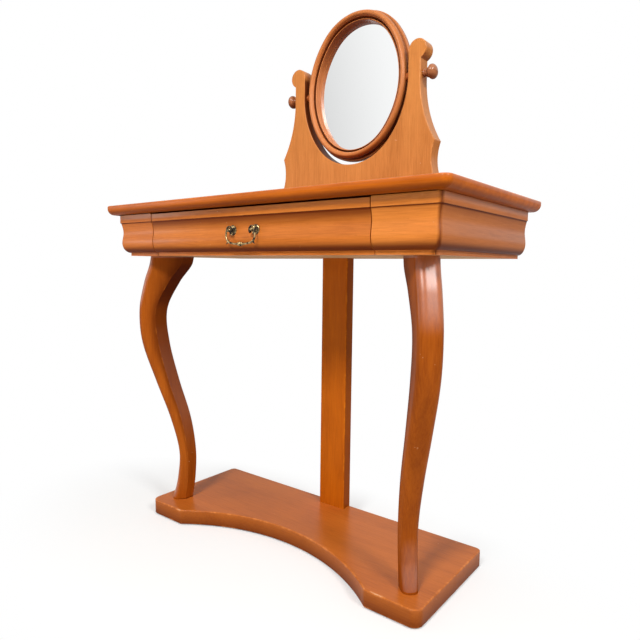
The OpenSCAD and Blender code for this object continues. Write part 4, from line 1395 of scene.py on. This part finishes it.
@dataclass
class MirrorSupport:
    """Upright board on the tabletop with an oval bay, side points, coves and arms with round tops."""

    oval: Oval = field(default_factory=Oval)
    extent: Extent = field(default_factory=lambda: Extent.of("mirror_support"))
    foot: float = 30.0
    cusp_half: float = 224.0
    cusp_z: float = 147.0
    cove_r: float = 115.0
    arm_half: float = 184.0
    gap: float = 5.0
    ear_r: float = 22.5
    ear_z: float = 351.5
    throat: float = 15.0
    neck_drop: float = 10.0
    arris: float = 1.6
    bay_middle: float = 200.0
    bay_reach: float = 140.0
    front_wear: float = 0.8
    rear_wear: float = 0.6
    bay_spared: float = 0.7

    def right_half(self) -> Array:
        """Right half of the outline, from the middle of the foot to the bottom of the bay.

        Arcs of circles meet at the points and run smoothly into the arm and the ear. Points near
        the ends of the straight runs keep the shading flat there.

        Returns:
            Points of shape (n, 2): place across, height above the tabletop.
        """
        half, pivot_z = self.extent.high[0], hinge("mirror_tilt")[2] - self.extent.low[2]
        chord = np.array([self.cusp_half - half, self.cusp_z - self.foot])
        length = float(np.linalg.norm(chord))
        bow = math.sqrt(self.cove_r**2 - (length / 2) ** 2) / length
        cove = (half + self.cusp_half) / 2 + bow * chord[1], (self.foot + self.cusp_z) / 2 - bow * chord[0]
        start = math.degrees(math.atan2(self.foot - cove[1], half - cove[0])) % 360
        end = math.degrees(math.atan2(self.cusp_z - cove[1], self.cusp_half - cove[0])) % 360
        neck = pivot_z - self.neck_drop
        drop, side = neck - self.cusp_z, self.cusp_half - self.arm_half
        flank_r = (side**2 + drop**2) / (2 * side)
        fall = math.degrees(math.asin(drop / flank_r))
        bay_r = self.oval.side_r + self.gap
        throat_x = math.sqrt(bay_r**2 - self.throat**2) - self.oval.side_centre
        ear = (throat_x + self.ear_r, self.ear_z)
        hip = -math.degrees(math.acos((self.arm_half - ear[0]) / self.ear_r))
        bay_start = math.asin(self.throat / bay_r)
        bay = self.oval.line(np.linspace(bay_start, -np.pi / 2, 60), self.gap) + [0, pivot_z]
        return np.concatenate(
            [
                [[0.0, 0.0], [half - 6, 0.0], [half, 0.0], [half, 8.0], [half, self.foot - 3]],
                circle_line(cove, self.cove_r, start, end, 18),
                circle_line((self.arm_half + flank_r, neck), flank_r, 180 + fall, 180, 18)[1:],
                [[self.arm_half, neck + 20], [self.arm_half, self.ear_z - 22]],
                circle_line(ear, self.ear_r, hip, 180, 26),
                [[throat_x, self.ear_z - 12], [throat_x, pivot_z + self.throat + 6]],
                bay,
            ]
        )

    def build(self) -> Object:
        """Stacks the outline through the board's thickness, with small rounds at both faces.

        The rounds are rubbed, less in the bay, whose cut edge carries painted shade.

        Returns:
            The board.
        """
        right = self.right_half()
        outline = np.concatenate([right, right[1:-1][::-1] * [-1, 1]])
        r, y0, y1 = self.arris, self.extent.low[1], self.extent.high[1]
        front = circle_line((r, y0 + r), r, 270, 180, 4)
        rear = circle_line((r, y1 - r), r, 180, 90, 4)
        edge = np.concatenate([[[4.5, y0]], front, [[0, y0 + 5]], [[0, y1 - 5]], rear, [[4.5, y1]]])
        rounds = np.full(len(front), self.front_wear), np.full(len(rear), self.rear_wear)
        worn = np.concatenate([[0.0], rounds[0], [0.0, 0.0], rounds[1], [0.0]])
        bay = np.abs(outline[:, 0]) < self.arm_half - 14
        bay &= np.abs(outline[:, 1] - self.bay_middle) < self.bay_reach
        shade = np.zeros((len(edge), len(outline)))
        # painted shade on the bay's cut edge
        shade[4:10] = bay
        flat = edge_loops(outline, inward(outline), edge)
        loops = np.stack([flat[..., 0], flat[..., 2], flat[..., 1] + self.extent.low[2]], -1)
        return Skin().add(loops, worn[:, None] * (1 - self.bay_spared * bay), shade).piece("support_board")


@dataclass
class MirrorFrame:
    """Moulded oval frame that leans a little back about its pivots.

    The hollow has a half width and a depth, and the bead a half width and a height.
    """

    oval: Oval = field(default_factory=Oval)
    rise: float = 5.0
    lean: float = 2.0
    width: float = 28.6
    rebate: float = 22.0
    rear: float = 18.0
    lip: float = 10.0
    lip_t: float = 3.0
    shoulder_z: float = -6.0
    shoulder_r: float = 2.0
    recess: float = 6.0
    recess_z: float = 1.0
    side_bead: float = 1.8
    side_bead_z: float = -3.0
    band_inset: float = 5.0
    band: float = 15.0
    band_side: float = 6.0
    band_rise: float = 11.0
    hollow: Pair = (2.0, 3.0)
    bead: Pair = (1.3, 1.8)
    crest_wear: float = 0.25
    hollow_shade: float = 0.9
    slope_shade: float = 0.3
    recess_shade: float = 0.6

    def section(self) -> Array:
        """Section from the outer rear edge over recess, band, hollow and bead to the glass, and back.

        Each point is the distance out from the oval and the depth in front of the pivot line.

        Returns:
            Points of shape (n, 2).
        """
        r, crest = self.shoulder_r, self.band_inset + self.band / 2
        band_in, ledge = self.band_inset + self.band, self.band_side - 1
        bead_x = band_in + 2 * self.hollow[0] + self.bead[0]
        slope = np.array([[-bead_x - self.bead[0], ledge - 1], [-self.width, self.lip_t - self.lip]])
        return np.concatenate(
            [
                [[-1.2, -self.rear], [0.0, -self.rear + 1.2]],
                circle_line((-r, self.shoulder_z - r), r, 0, 90, 8),
                [[-self.recess, self.shoulder_z]],
                circle_line((-self.recess, self.side_bead_z), self.side_bead, -90, 90, 10),
                [[-self.recess, self.recess_z], [-self.band_inset, self.recess_z + 1]],
                arc_line((-crest, self.band_side), (self.band / 2, self.band_rise), 0, 180, 30),
                arc_line((-band_in - self.hollow[0], ledge), self.hollow, 0, -180, 10),
                arc_line((-bead_x, ledge), self.bead, 0, 180, 10),
                slope[:1],
                slope[:1] + (slope[1:] - slope[:1]) * np.linspace(0.33, 0.96, 3)[:, None],
                [[-self.width, self.lip_t - self.lip - 0.4], [-self.width, -self.lip]],
                [[-self.rebate, -self.lip], [-self.rebate, -self.rear]],
            ]
        )

    @staticmethod
    def lengths(points: Array) -> Array:
        """Length along a closed line up to each of its points and back to the first."""
        closed = np.concatenate([points, points[:1]])
        return np.r_[0, np.cumsum(np.linalg.norm(np.diff(closed, axis=0), axis=1))]

    def build(self) -> Object:
        """Carries the section round the oval, with the grain along it, and leans the ring.

        The crest of the band is rubbed, and the hollow, the slope to the glass and the recess
        at the side carry painted shade.

        Returns:
            The ring.
        """
        section = self.section()
        angles = np.linspace(0, 2 * np.pi, 240, endpoint=False) + 0.004
        flat = self.oval.line(angles[None, :], section[:, :1])
        depth = np.broadcast_to(section[:, 1:], flat.shape[:2])
        turn, (_, pivot_y, pivot_z) = math.radians(self.lean), hinge("mirror_tilt")
        height = flat[..., 1] + self.rise
        y = pivot_y - depth * math.cos(turn) + height * math.sin(turn)
        z = pivot_z + depth * math.sin(turn) + height * math.cos(turn)
        loops = np.stack([flat[..., 0], y, z], -1)
        grain = self.lengths(flat[0]), self.lengths(section)
        out, front = section[:, :1], section[:, 1:]
        worn = self.crest_wear * (front > self.band_side + 0.8 * self.band_rise)
        band_in = self.band_inset + self.band
        hollow = (out < -band_in + 0.2) & (out > -band_in - 2 * self.hollow[0])
        slope = out < -band_in - 2 * self.hollow[0] - 1.7 * self.bead[0]
        recess = (out < -2) & (out > -self.recess - 1) & (front < self.recess_z + 1.2)
        shade = self.hollow_shade * hollow + self.slope_shade * slope + self.recess_shade * recess
        return Skin().add(loops, worn, shade, ring=True, grain=grain).piece("mirror_ring", 50)


@dataclass
class Knobs:
    """Turned knobs on the pivot line: a foot, a ring on the neck, then a flattened ball.

    The ring has a height over the neck and a half length. The shares of the ball's radius are
    those of the face at the arm, the foot, the two ends of the stem, and the ring.
    """

    extent: Extent = field(default_factory=lambda: Extent.of("knob_right"))
    neck: float = 11.0
    ball_r: float = 16.5
    ball_half: float = 11.0
    foot: float = 1.6
    ring: Pair = (1.8, 1.6)
    shares: tuple[float, ...] = (0.4, 0.45, 0.42, 0.44, 0.54)
    foot_wear: float = 0.5

    def profile(self) -> Array:
        """Distance out and radius, from the face at the arm to the end of the ball.

        Returns:
            Points of shape (n, 2).
        """
        face, foot_r, stem_r, neck_r, ring_r = self.ball_r * np.array(self.shares)
        ring_half = self.ring[1]
        base = circle_line((foot_r, self.foot), self.foot, -90, 90, 10)
        stem = [[stem_r, 2 * self.foot + 0.3], [neck_r, self.neck - 2 * ring_half - 0.5]]
        ring = arc_line((ring_r, self.neck - ring_half), self.ring, -90, 90, 10)
        ball = arc_line((0, self.neck + self.ball_half - 1), (self.ball_r, self.ball_half), -64, 89, 36)
        return np.concatenate([[[face, 0]], base, stem, ring, [[neck_r, self.neck]], ball])[:, ::-1]

    def build(self, finish: StainedWood) -> list[Object]:
        """Makes both knobs, a little rubbed at the foot.

        Args:
            finish: Their stained wood.

        Returns:
            The two knobs.
        """
        wood = finish.material()
        profile, (_, y, z) = self.profile(), hinge("right_knob_turn")
        loops = turned(profile, (self.extent.low[0], y, z), (1, 0, 0), 56)
        worn = self.foot_wear * (profile[:, :1] < 2 * self.foot)
        pieces = []
        for side, turn in SIDES.items():
            made = Skin().add(turn(loops), worn).piece(f"turned_knob_{side}", 40)
            pieces.append(place(made, f"{side}_knob", "dark_wood", wood, f"knob_{side}"))
        return pieces


@dataclass
class Handle:
    """Drop handle: two rosettes with eyed posts, and a bail with scrolls, beads and leaves.

    A station of the bail's line holds shares of its half width, its drop and the rod's radius.
    The collar and the bead each have a height over the grip and a half length. The patina and
    shade holds points of the post's section, each with its weight: patina at the stem, and painted
    shade at the rim's edge by the seat. Marks are the weights of wear and shade.
    """

    half: float = 32.0
    seat_y: float = -190.6
    z: float = 711.0
    out: float = 12.0
    rosette_r: float = 10.5
    rosette_t: float = 3.0
    rim: float = 2.0
    stem_r: float = 2.6
    eye_r: float = 4.4
    scroll_r: float = 7.0
    rod_r: float = 2.0
    pin_r: float = 1.5
    drop: float = 28.0
    curl: float = 235.0
    grip_r: float = 1.8
    grip_half: float = 7.2
    collar: Pair = (1.8, 2.2)
    collar_at: float = 5.0
    bead: Pair = (3.0, 2.6)
    leaf_start: Pair = (0.86, 0.82)
    leaf_size: Pair = (5.5, 6.5)
    leaf_bow: Pair = (1.5, 2.2)
    patina_and_shade: tuple[tuple[int, float], ...] = ((0, 0.8), (6, 0.1), (12, 0.0), (13, 0.0), (16, 0.5), (30, 0.1))
    post_wear: float = 0.3
    rod_marks: Pair = (0.4, 0.1)
    scroll_marks: Pair = (0.1, 0.5)
    bead_marks: Pair = (0.6, 0.2)
    leaf_marks: Pair = (0.3, 0.3)
    line: Array = field(
        default_factory=lambda: np.array(
            [
                [1.00, 0.00, 0.80], [1.03, 0.25, 0.90], [1.03, 0.50, 1.00], [0.93, 0.75, 1.05],
                [0.72, 0.91, 1.00], [0.40, 0.98, 0.95], [0.00, 1.00, 1.10],
            ]
        )
    )

    def post(self) -> Array:
        """Loops of the right rosette and post: a dished disc with a rolled rim, a stem and a ball.

        Returns:
            Loops of shape (stations, points, 3).
        """
        edge, t = self.rosette_r - self.rim, self.rosette_t
        rim = arc_line((edge, t / 2), (self.rim, t / 2), -80, 100, 12)
        dish = [[edge - self.rim, t - 0.8], [self.stem_r + 3, t - 1.0], [self.stem_r + 1, t - 0.4]]
        stem = [[self.stem_r, t + 1.5], [self.stem_r, self.out - self.eye_r]]
        ball = circle_line((0, self.out), self.eye_r, -52, 88, 14)
        line = np.concatenate([rim, dish, stem, ball])
        return turned(line[:, ::-1], (self.half, self.seat_y, self.z), (0, -1, 0), 40)

    def rod(self) -> Array:
        """Loops of the bail's rod from one scroll's free end, down and across, to the other.

        The scroll is an arc round the post's eye that swells at its end with the fourth power
        of the way, and the rest is the smooth line through the stations and its mirror image.

        Returns:
            Loops of shape (stations, points, 3).
        """
        half_width = self.half + self.scroll_r
        left = np.linspace(1, 0, 30, endpoint=False)
        turn = np.radians(self.curl * left)
        thick = self.rod_r * (0.8 + 0.5 * left**4)
        scroll = np.stack([self.half + self.scroll_r * np.cos(turn), self.scroll_r * np.sin(turn), thick], -1)
        both = np.concatenate([self.line, self.line[-2::-1] * [-1, 1, 1]])
        stations = np.column_stack([np.arange(len(both)), both])
        arm = smooth_line(stations, 110) * [half_width, -self.drop, self.rod_r]
        route = np.concatenate([scroll, arm, scroll[::-1] * [-1, 1, 1]])
        y = np.full(len(route), self.seat_y - self.out)
        path = np.stack([route[:, 0], y, self.z + route[:, 1]], -1)
        return tube(path, route[:, 2], (0, 1, 0), 18)

    def beads(self) -> Array:
        """Loops of the turned middle of the grip: a bead between two collars.

        Returns:
            Loops of shape (stations, points, 3).
        """
        low, high = (
            arc_line((self.grip_r, at), self.collar, -90, 90, 10) for at in (-self.collar_at, self.collar_at)
        )
        bead = arc_line((self.grip_r, 0), self.bead, -90, 90, 14)
        line = np.concatenate([[[0.3, -self.grip_half]], low, bead, high, [[0.3, self.grip_half]]])
        origin = (0, self.seat_y - self.out, self.z - self.drop)
        return turned(line[:, ::-1], origin, (1, 0, 0), 28)

    def leaf(self) -> Array:
        """Loops of the right leaf that curls out and down from the bail's lower corner.

        It runs straight out and down, bowed out by a sine and back up by a cube, and thins
        towards its tip but for a small swelling.

        Returns:
            Loops of shape (stations, points, 3).
        """
        t = np.linspace(0, 1, 16)
        start_x = self.leaf_start[0] * (self.half + self.scroll_r)
        start_z = self.z - self.leaf_start[1] * self.drop
        x = start_x + self.leaf_size[0] * t + self.leaf_bow[0] * np.sin(np.pi * t)
        z = start_z - self.leaf_size[1] * t + self.leaf_bow[1] * t**3
        path = np.stack([x, np.full_like(x, self.seat_y - self.out), z], -1)
        radii = self.rod_r * (0.95 - 0.55 * t + 0.35 * np.exp(-(((t - 0.9) / 0.1) ** 2)))
        return tube(path, radii, (0, 1, 0), 14)

    def pin(self) -> Array:
        """Loops of the right pin, which joins the bail's scroll to the post's eye.

        Returns:
            Loops of shape (stations, points, 3).
        """
        end = np.array([[self.scroll_r, 0.2], [self.scroll_r, self.pin_r]])
        line = np.concatenate([end * [-1, 1], end[::-1]])
        return turned(line, (self.half, self.seat_y - self.out, self.z), (1, 0, 0), 20)

    def build(self, brass: Metal) -> list[Object]:
        """Makes the two posts and the bail, whose scrolls are darker and less rubbed than its rod.

        Args:
            brass: Finish of the posts and the bail.

        Returns:
            The two posts and the bail.
        """
        metal = brass.material()
        post, leaf, rod, pin = self.post(), self.leaf(), self.rod(), self.pin()
        # patina at the stem, and painted shade at the rim's outer edge
        dark = np.interp(np.arange(len(post)), *np.transpose(self.patina_and_shade))
        curled = np.clip(np.abs(np.linspace(-1, 1, len(rod)))[:, None] * 3 - 1.6, 0, 1)
        ends = zip(self.rod_marks, self.scroll_marks)
        worn, shade = (at_rod + (at_scroll - at_rod) * curled for at_rod, at_scroll in ends)
        pieces = []
        for side, turn in SIDES.items():
            made = Skin().add(turn(post), self.post_wear, dark[:, None]).piece(f"rosette_{side}", 50)
            pieces.append(place(made, "drawer", "old_brass", metal, f"handle_post_{side}"))
        bail = Skin().add(rod, worn, shade).add(self.beads(), *self.bead_marks)
        bail.add(leaf, *self.leaf_marks).add(mirrored(leaf), *self.leaf_marks)
        bail.add(pin).add(mirrored(pin))
        pieces.append(place(bail.piece("drop_bail", 50), "bail", "old_brass", metal, "handle_bail"))
        return pieces


@dataclass(frozen=True)
class Lamp:
    """Soft rectangular lamp at a place, aimed at a point, in metres and watts."""

    name: str
    at: Triple
    aim: Triple
    size: Pair
    power: float

    def build(self) -> None:
        """Adds the lamp to the scene."""
        data = bpy.data.lights.new(self.name, "AREA")
        data.shape = "RECTANGLE"
        data.size, data.size_y = self.size
        data.energy = self.power
        lamp = bpy.data.objects.new(self.name, data)
        lamp.location = self.at
        lamp.rotation_euler = (Vector(self.aim) - Vector(self.at)).to_track_quat("-Z", "Y").to_euler()
        bpy.context.scene.collection.objects.link(lamp)


@dataclass
class Studio:
    """Camera at the photograph's angle, soft lamps, pale floor and white surroundings.

    The camera's place is in millimetres and its angles in degrees. The fade holds the distances
    in metres between which the floor turns white, measured after the stretch, and the left edge
    holds the directions between which the surroundings turn white, seen in glossy faces.
    """

    eye: Triple = (811.6, -988.6, 640.1)
    yaw: float = 37.784
    pitch: float = 5.446
    roll: float = 0.686
    focal_px: float = 559.95
    picture_px: float = 640.0
    sensor: float = 36.0
    ambient: float = 0.30
    white: Colour = (1.0, 1.0, 1.0)
    floor_tone: Colour = (0.70, 0.70, 0.69)
    floor_glow: float = 0.30
    floor_r: float = 6000.0
    floor_t: float = 20.0
    fade_stretch: Triple = (1.0, 1.9, 1.0)
    fade_shift: Triple = (0.0, 0.12, 0.0)
    fade: Pair = (0.42, 0.90)
    left_edge: Pair = (-0.66, -0.45)
    left_grey: float = 0.66
    lamps: tuple[Lamp, ...] = (
        Lamp("key", (0.6, -2.8, 3.1), (0.0, 0.0, 0.7), (0.8, 0.8), 102.0),
        Lamp("left", (-2.4, -1.8, 0.6), (0.0, 0.0, 0.4), (0.5, 0.8), 12.0),
        Lamp("side", (2.8, -0.9, 2.5), (0.0, 0.0, 0.7), (0.7, 0.7), 54.0),
    )

    def camera(self) -> None:
        """Adds the camera with the fitted place, turn and focal length."""
        yaw, pitch, roll = (math.radians(angle) for angle in (self.yaw, self.pitch, self.roll))
        ahead = Vector((-math.sin(yaw) * math.cos(pitch), math.cos(yaw) * math.cos(pitch), -math.sin(pitch)))
        right = Vector((math.cos(yaw), math.sin(yaw), 0.0))
        up = right.cross(ahead)
        across = right * math.cos(roll) + up * math.sin(roll)
        upright = up * math.cos(roll) - right * math.sin(roll)
        data = bpy.data.cameras.new("photo_camera")
        data.sensor_width = self.sensor
        data.sensor_fit = "HORIZONTAL"
        data.lens = self.focal_px * self.sensor / self.picture_px
        data.clip_start = 0.02
        data.clip_end = 60.0
        camera = bpy.data.objects.new("photo_camera", data)
        turn = Matrix((across, upright, -ahead)).transposed().to_4x4()
        camera.matrix_world = Matrix.Translation(Vector(self.eye) * MM) @ turn
        bpy.context.scene.collection.objects.link(camera)
        bpy.context.scene.camera = camera

    def floor(self) -> None:
        """Adds a pale floor that keeps the shadow and fades to white away from the table."""
        t = np.linspace(0, 2 * np.pi, 64, endpoint=False)
        rim = np.stack([self.floor_r * np.cos(t), self.floor_r * np.sin(t), np.zeros_like(t)], -1)
        floor = Skin().add(np.stack([rim - [0, 0, self.floor_t], rim])).piece("studio_floor")
        recipe = Recipe(bpy.data.materials.new("pale_floor"))
        at = recipe.stretched(self.fade_stretch, self.fade_shift)
        far = recipe.value("ShaderNodeVectorMath", {"operation": "LENGTH"}, {0: at}, 1).ramp(*self.fade)
        matt = recipe.value("ShaderNodeBsdfDiffuse", {}, {"Color": self.floor_tone})
        glow = recipe.light("ShaderNodeEmission", self.white, self.floor_glow)
        blank = recipe.light("ShaderNodeEmission", self.white, 1.0)
        lit = recipe.value("ShaderNodeAddShader", {}, {0: matt, 1: glow})
        mixed = recipe.either(self.seen(recipe), matt, recipe.either(far, lit, blank))
        recipe.node("ShaderNodeOutputMaterial", {}, {"Surface": mixed})
        floor.data.materials.append(recipe.owner)

    @staticmethod
    def seen(recipe: Recipe) -> Value:
        """1 for camera, glossy and transmission rays, and 0 for the rest.

        Args:
            recipe: Recipe that the nodes join.

        Returns:
            The value.
        """
        path = recipe.node("ShaderNodeLightPath", {}, {})
        names = "Is Camera Ray", "Is Glossy Ray", "Is Transmission Ray"
        camera, glossy, through = (Value(recipe, path.outputs[name]) for name in names)
        return camera.most(glossy).most(through)

    def surroundings(self) -> None:
        """White surroundings, a little greyer on the far left, that light the rest softly."""
        world = bpy.data.worlds.new("studio")
        bpy.context.scene.world = world
        recipe = Recipe(world)
        toward = recipe.value("ShaderNodeTexCoord", {}, {})
        sideways = recipe.value("ShaderNodeSeparateXYZ", {}, {0: toward})
        path = recipe.node("ShaderNodeLightPath", {}, {})
        camera = Value(recipe, path.outputs["Is Camera Ray"])
        level = sideways.ramp(*self.left_edge, self.left_grey, 1.0)
        shown = recipe.light("ShaderNodeBackground", self.white, level.most(camera))
        light = recipe.light("ShaderNodeBackground", self.white, self.ambient)
        mixed = recipe.either(self.seen(recipe), light, shown)
        recipe.node("ShaderNodeOutputWorld", {}, {"Surface": mixed})

    def build(self) -> None:
        """Sets up camera, lamps, floor and surroundings."""
        self.camera()
        for lamp in self.lamps:
            lamp.build()
        self.floor()
        self.surroundings()
        bpy.context.scene.view_settings.view_transform = "Standard"


Finish = Union[StainedWood, BareWood, Metal, Silvering, Felt]

FRONT = StainedWood("wood_front", stain(200, 112, 44))
TOP = replace(
    FRONT, name="wood_tabletop", tone=stain(186, 92, 18), shift=(0.3, 0.1, 0.0), lacquer=0.7, wear=0.9
)
# painted shade and light: the left block is toned darker and the right one lighter, each with its own grain
BLOCKS = {
    "left": replace(FRONT, name="wood_block_left_painted_shade", tone=stain(194, 106, 42), shift=(0.9, 0.0, 0.4)),
    "right": replace(FRONT, name="wood_block_right_painted_light", tone=stain(212, 124, 52), shift=(0.2, 0.0, 0.4)),
}
# painted sheen: the rails are toned duller and greyer than the front, for the sheen their sides catch
RAIL = replace(FRONT, name="wood_rail", tone=stain(182, 104, 52), grain=Grain.Y, shift=(0.2, 0.6, 0.1))
LEG = replace(
    FRONT,
    name="wood_leg",
    tone=stain(160, 78, 15),
    grain=Grain.Z,
    shift=(0.0, 0.3, 0.2),
    streaks=0.7,
    lacquer=1.0,
    glaze=1.75,
    gloss=0.36,
    sheen_by_tilt=(0.02, 0.22, 0.04),
)
PLINTH = replace(
    FRONT,
    name="wood_plinth",
    tone=stain(188, 100, 34),
    shift=(0.5, 0.2, 0.7),
    wear=1.0,
    streaks=0.3,
    lacquer=0.45,
)
POST = replace(
    FRONT, name="wood_post", tone=stain(184, 92, 12), grain=Grain.Z, shift=(0.1, 0.8, 0.5), lacquer=0.10
)
SUPPORT = replace(
    FRONT,
    name="wood_support",
    tone=stain(200, 126, 62),
    grain=Grain.Z,
    shift=(0.7, 0.4, 0.0),
    streaks=0.22,
    gloss=0.3,
)
RING = replace(
    FRONT,
    name="wood_ring",
    tone=stain(194, 116, 58),
    grain=Grain.RING,
    lacquer=0.6,
    gloss=0.42,
    sheen_by_tilt=(-0.4, -0.1, 0.3),
    scuffs=0.1,
)
KNOB = replace(FRONT, name="wood_knob", tone=stain(160, 98, 60), lacquer=0.9, gloss=0.2)
BRASS = Metal("old_brass", stain(176, 150, 104), stain(32, 24, 14), 0.60, 0.28)

SAWN = ("drawer_side", "drawer_guide", "drawer_runner", "drawer_kicker", "leg_block", "top_cleat")
SCREWS = ("plinth_screws", "leg_bolts", "top_screws", "support_screws", "handle_screws")
KEPT_NODES: list[tuple[Finish, Sequence[str]]] = [
    (replace(FRONT, name="wood_hidden", tone=stain(168, 88, 40), wear=0.0), ["back_rail", "pivot_spacers"]),
    (
        BareWood("bare_wood_x", stain(222, 190, 146)),
        ["drawer_back", "drawer_stops", "drawer_catch", "post_block"],
    ),
    (
        BareWood("bare_wood_y", stain(218, 184, 140), Grain.Y),
        [f"{name}_{side}" for name in SAWN for side in SIDES],
    ),
    (BareWood("plywood", stain(206, 160, 108)), ["drawer_bottom", "mirror_backing", "bottom_panel"]),
    (
        Metal("steel", stain(186, 188, 190), stain(110, 110, 110), 0.2, 0.32),
        [*SCREWS, "knob_rod_left", "knob_rod_right"],
    ),
    (BRASS, ["backing_clips", "pivot_inserts"]),
    (Silvering(), ["mirror_glass"]),
    (Felt(), ["glides"]),
]


def furniture() -> list[Object]:
    """Makes the pieces that stand for visible nodes, from the tabletop to the handle.

    Returns:
        The pieces, in the order in which they are made.
    """
    frieze = Frieze()
    pieces = [place(Tabletop().build(), "table", "stained_wood", TOP.material(), "tabletop")]
    pieces += frieze.build(BLOCKS, RAIL)
    pieces.append(frieze.drawer(FRONT))
    pieces += Legs().build(LEG)
    boards = [
        (Plinth(), "table", PLINTH, "plinth"),
        (RearPost(), "table", POST, "rear_post"),
        (MirrorSupport(), "table", SUPPORT, "mirror_support"),
        (MirrorFrame(), "mirror", RING, "mirror_frame"),
    ]
    for shape, body, wood, node in boards:
        pieces.append(place(shape.build(), body, "stained_wood", wood.material(), node))
    return pieces + Knobs().build(KNOB) + Handle().build(BRASS)


def main() -> None:
    """Builds and dresses every piece in order."""
    logging.basicConfig(level=logging.INFO, format="%(name)s: %(message)s")
    pieces = furniture()
    for finish, nodes in KEPT_NODES:
        dress(finish.material(), nodes)
    Studio().build()
    for piece in pieces:
        log.info("%s: %d faces", piece.name, len(piece.data.polygons))


if __name__ == "__main__":
    main()
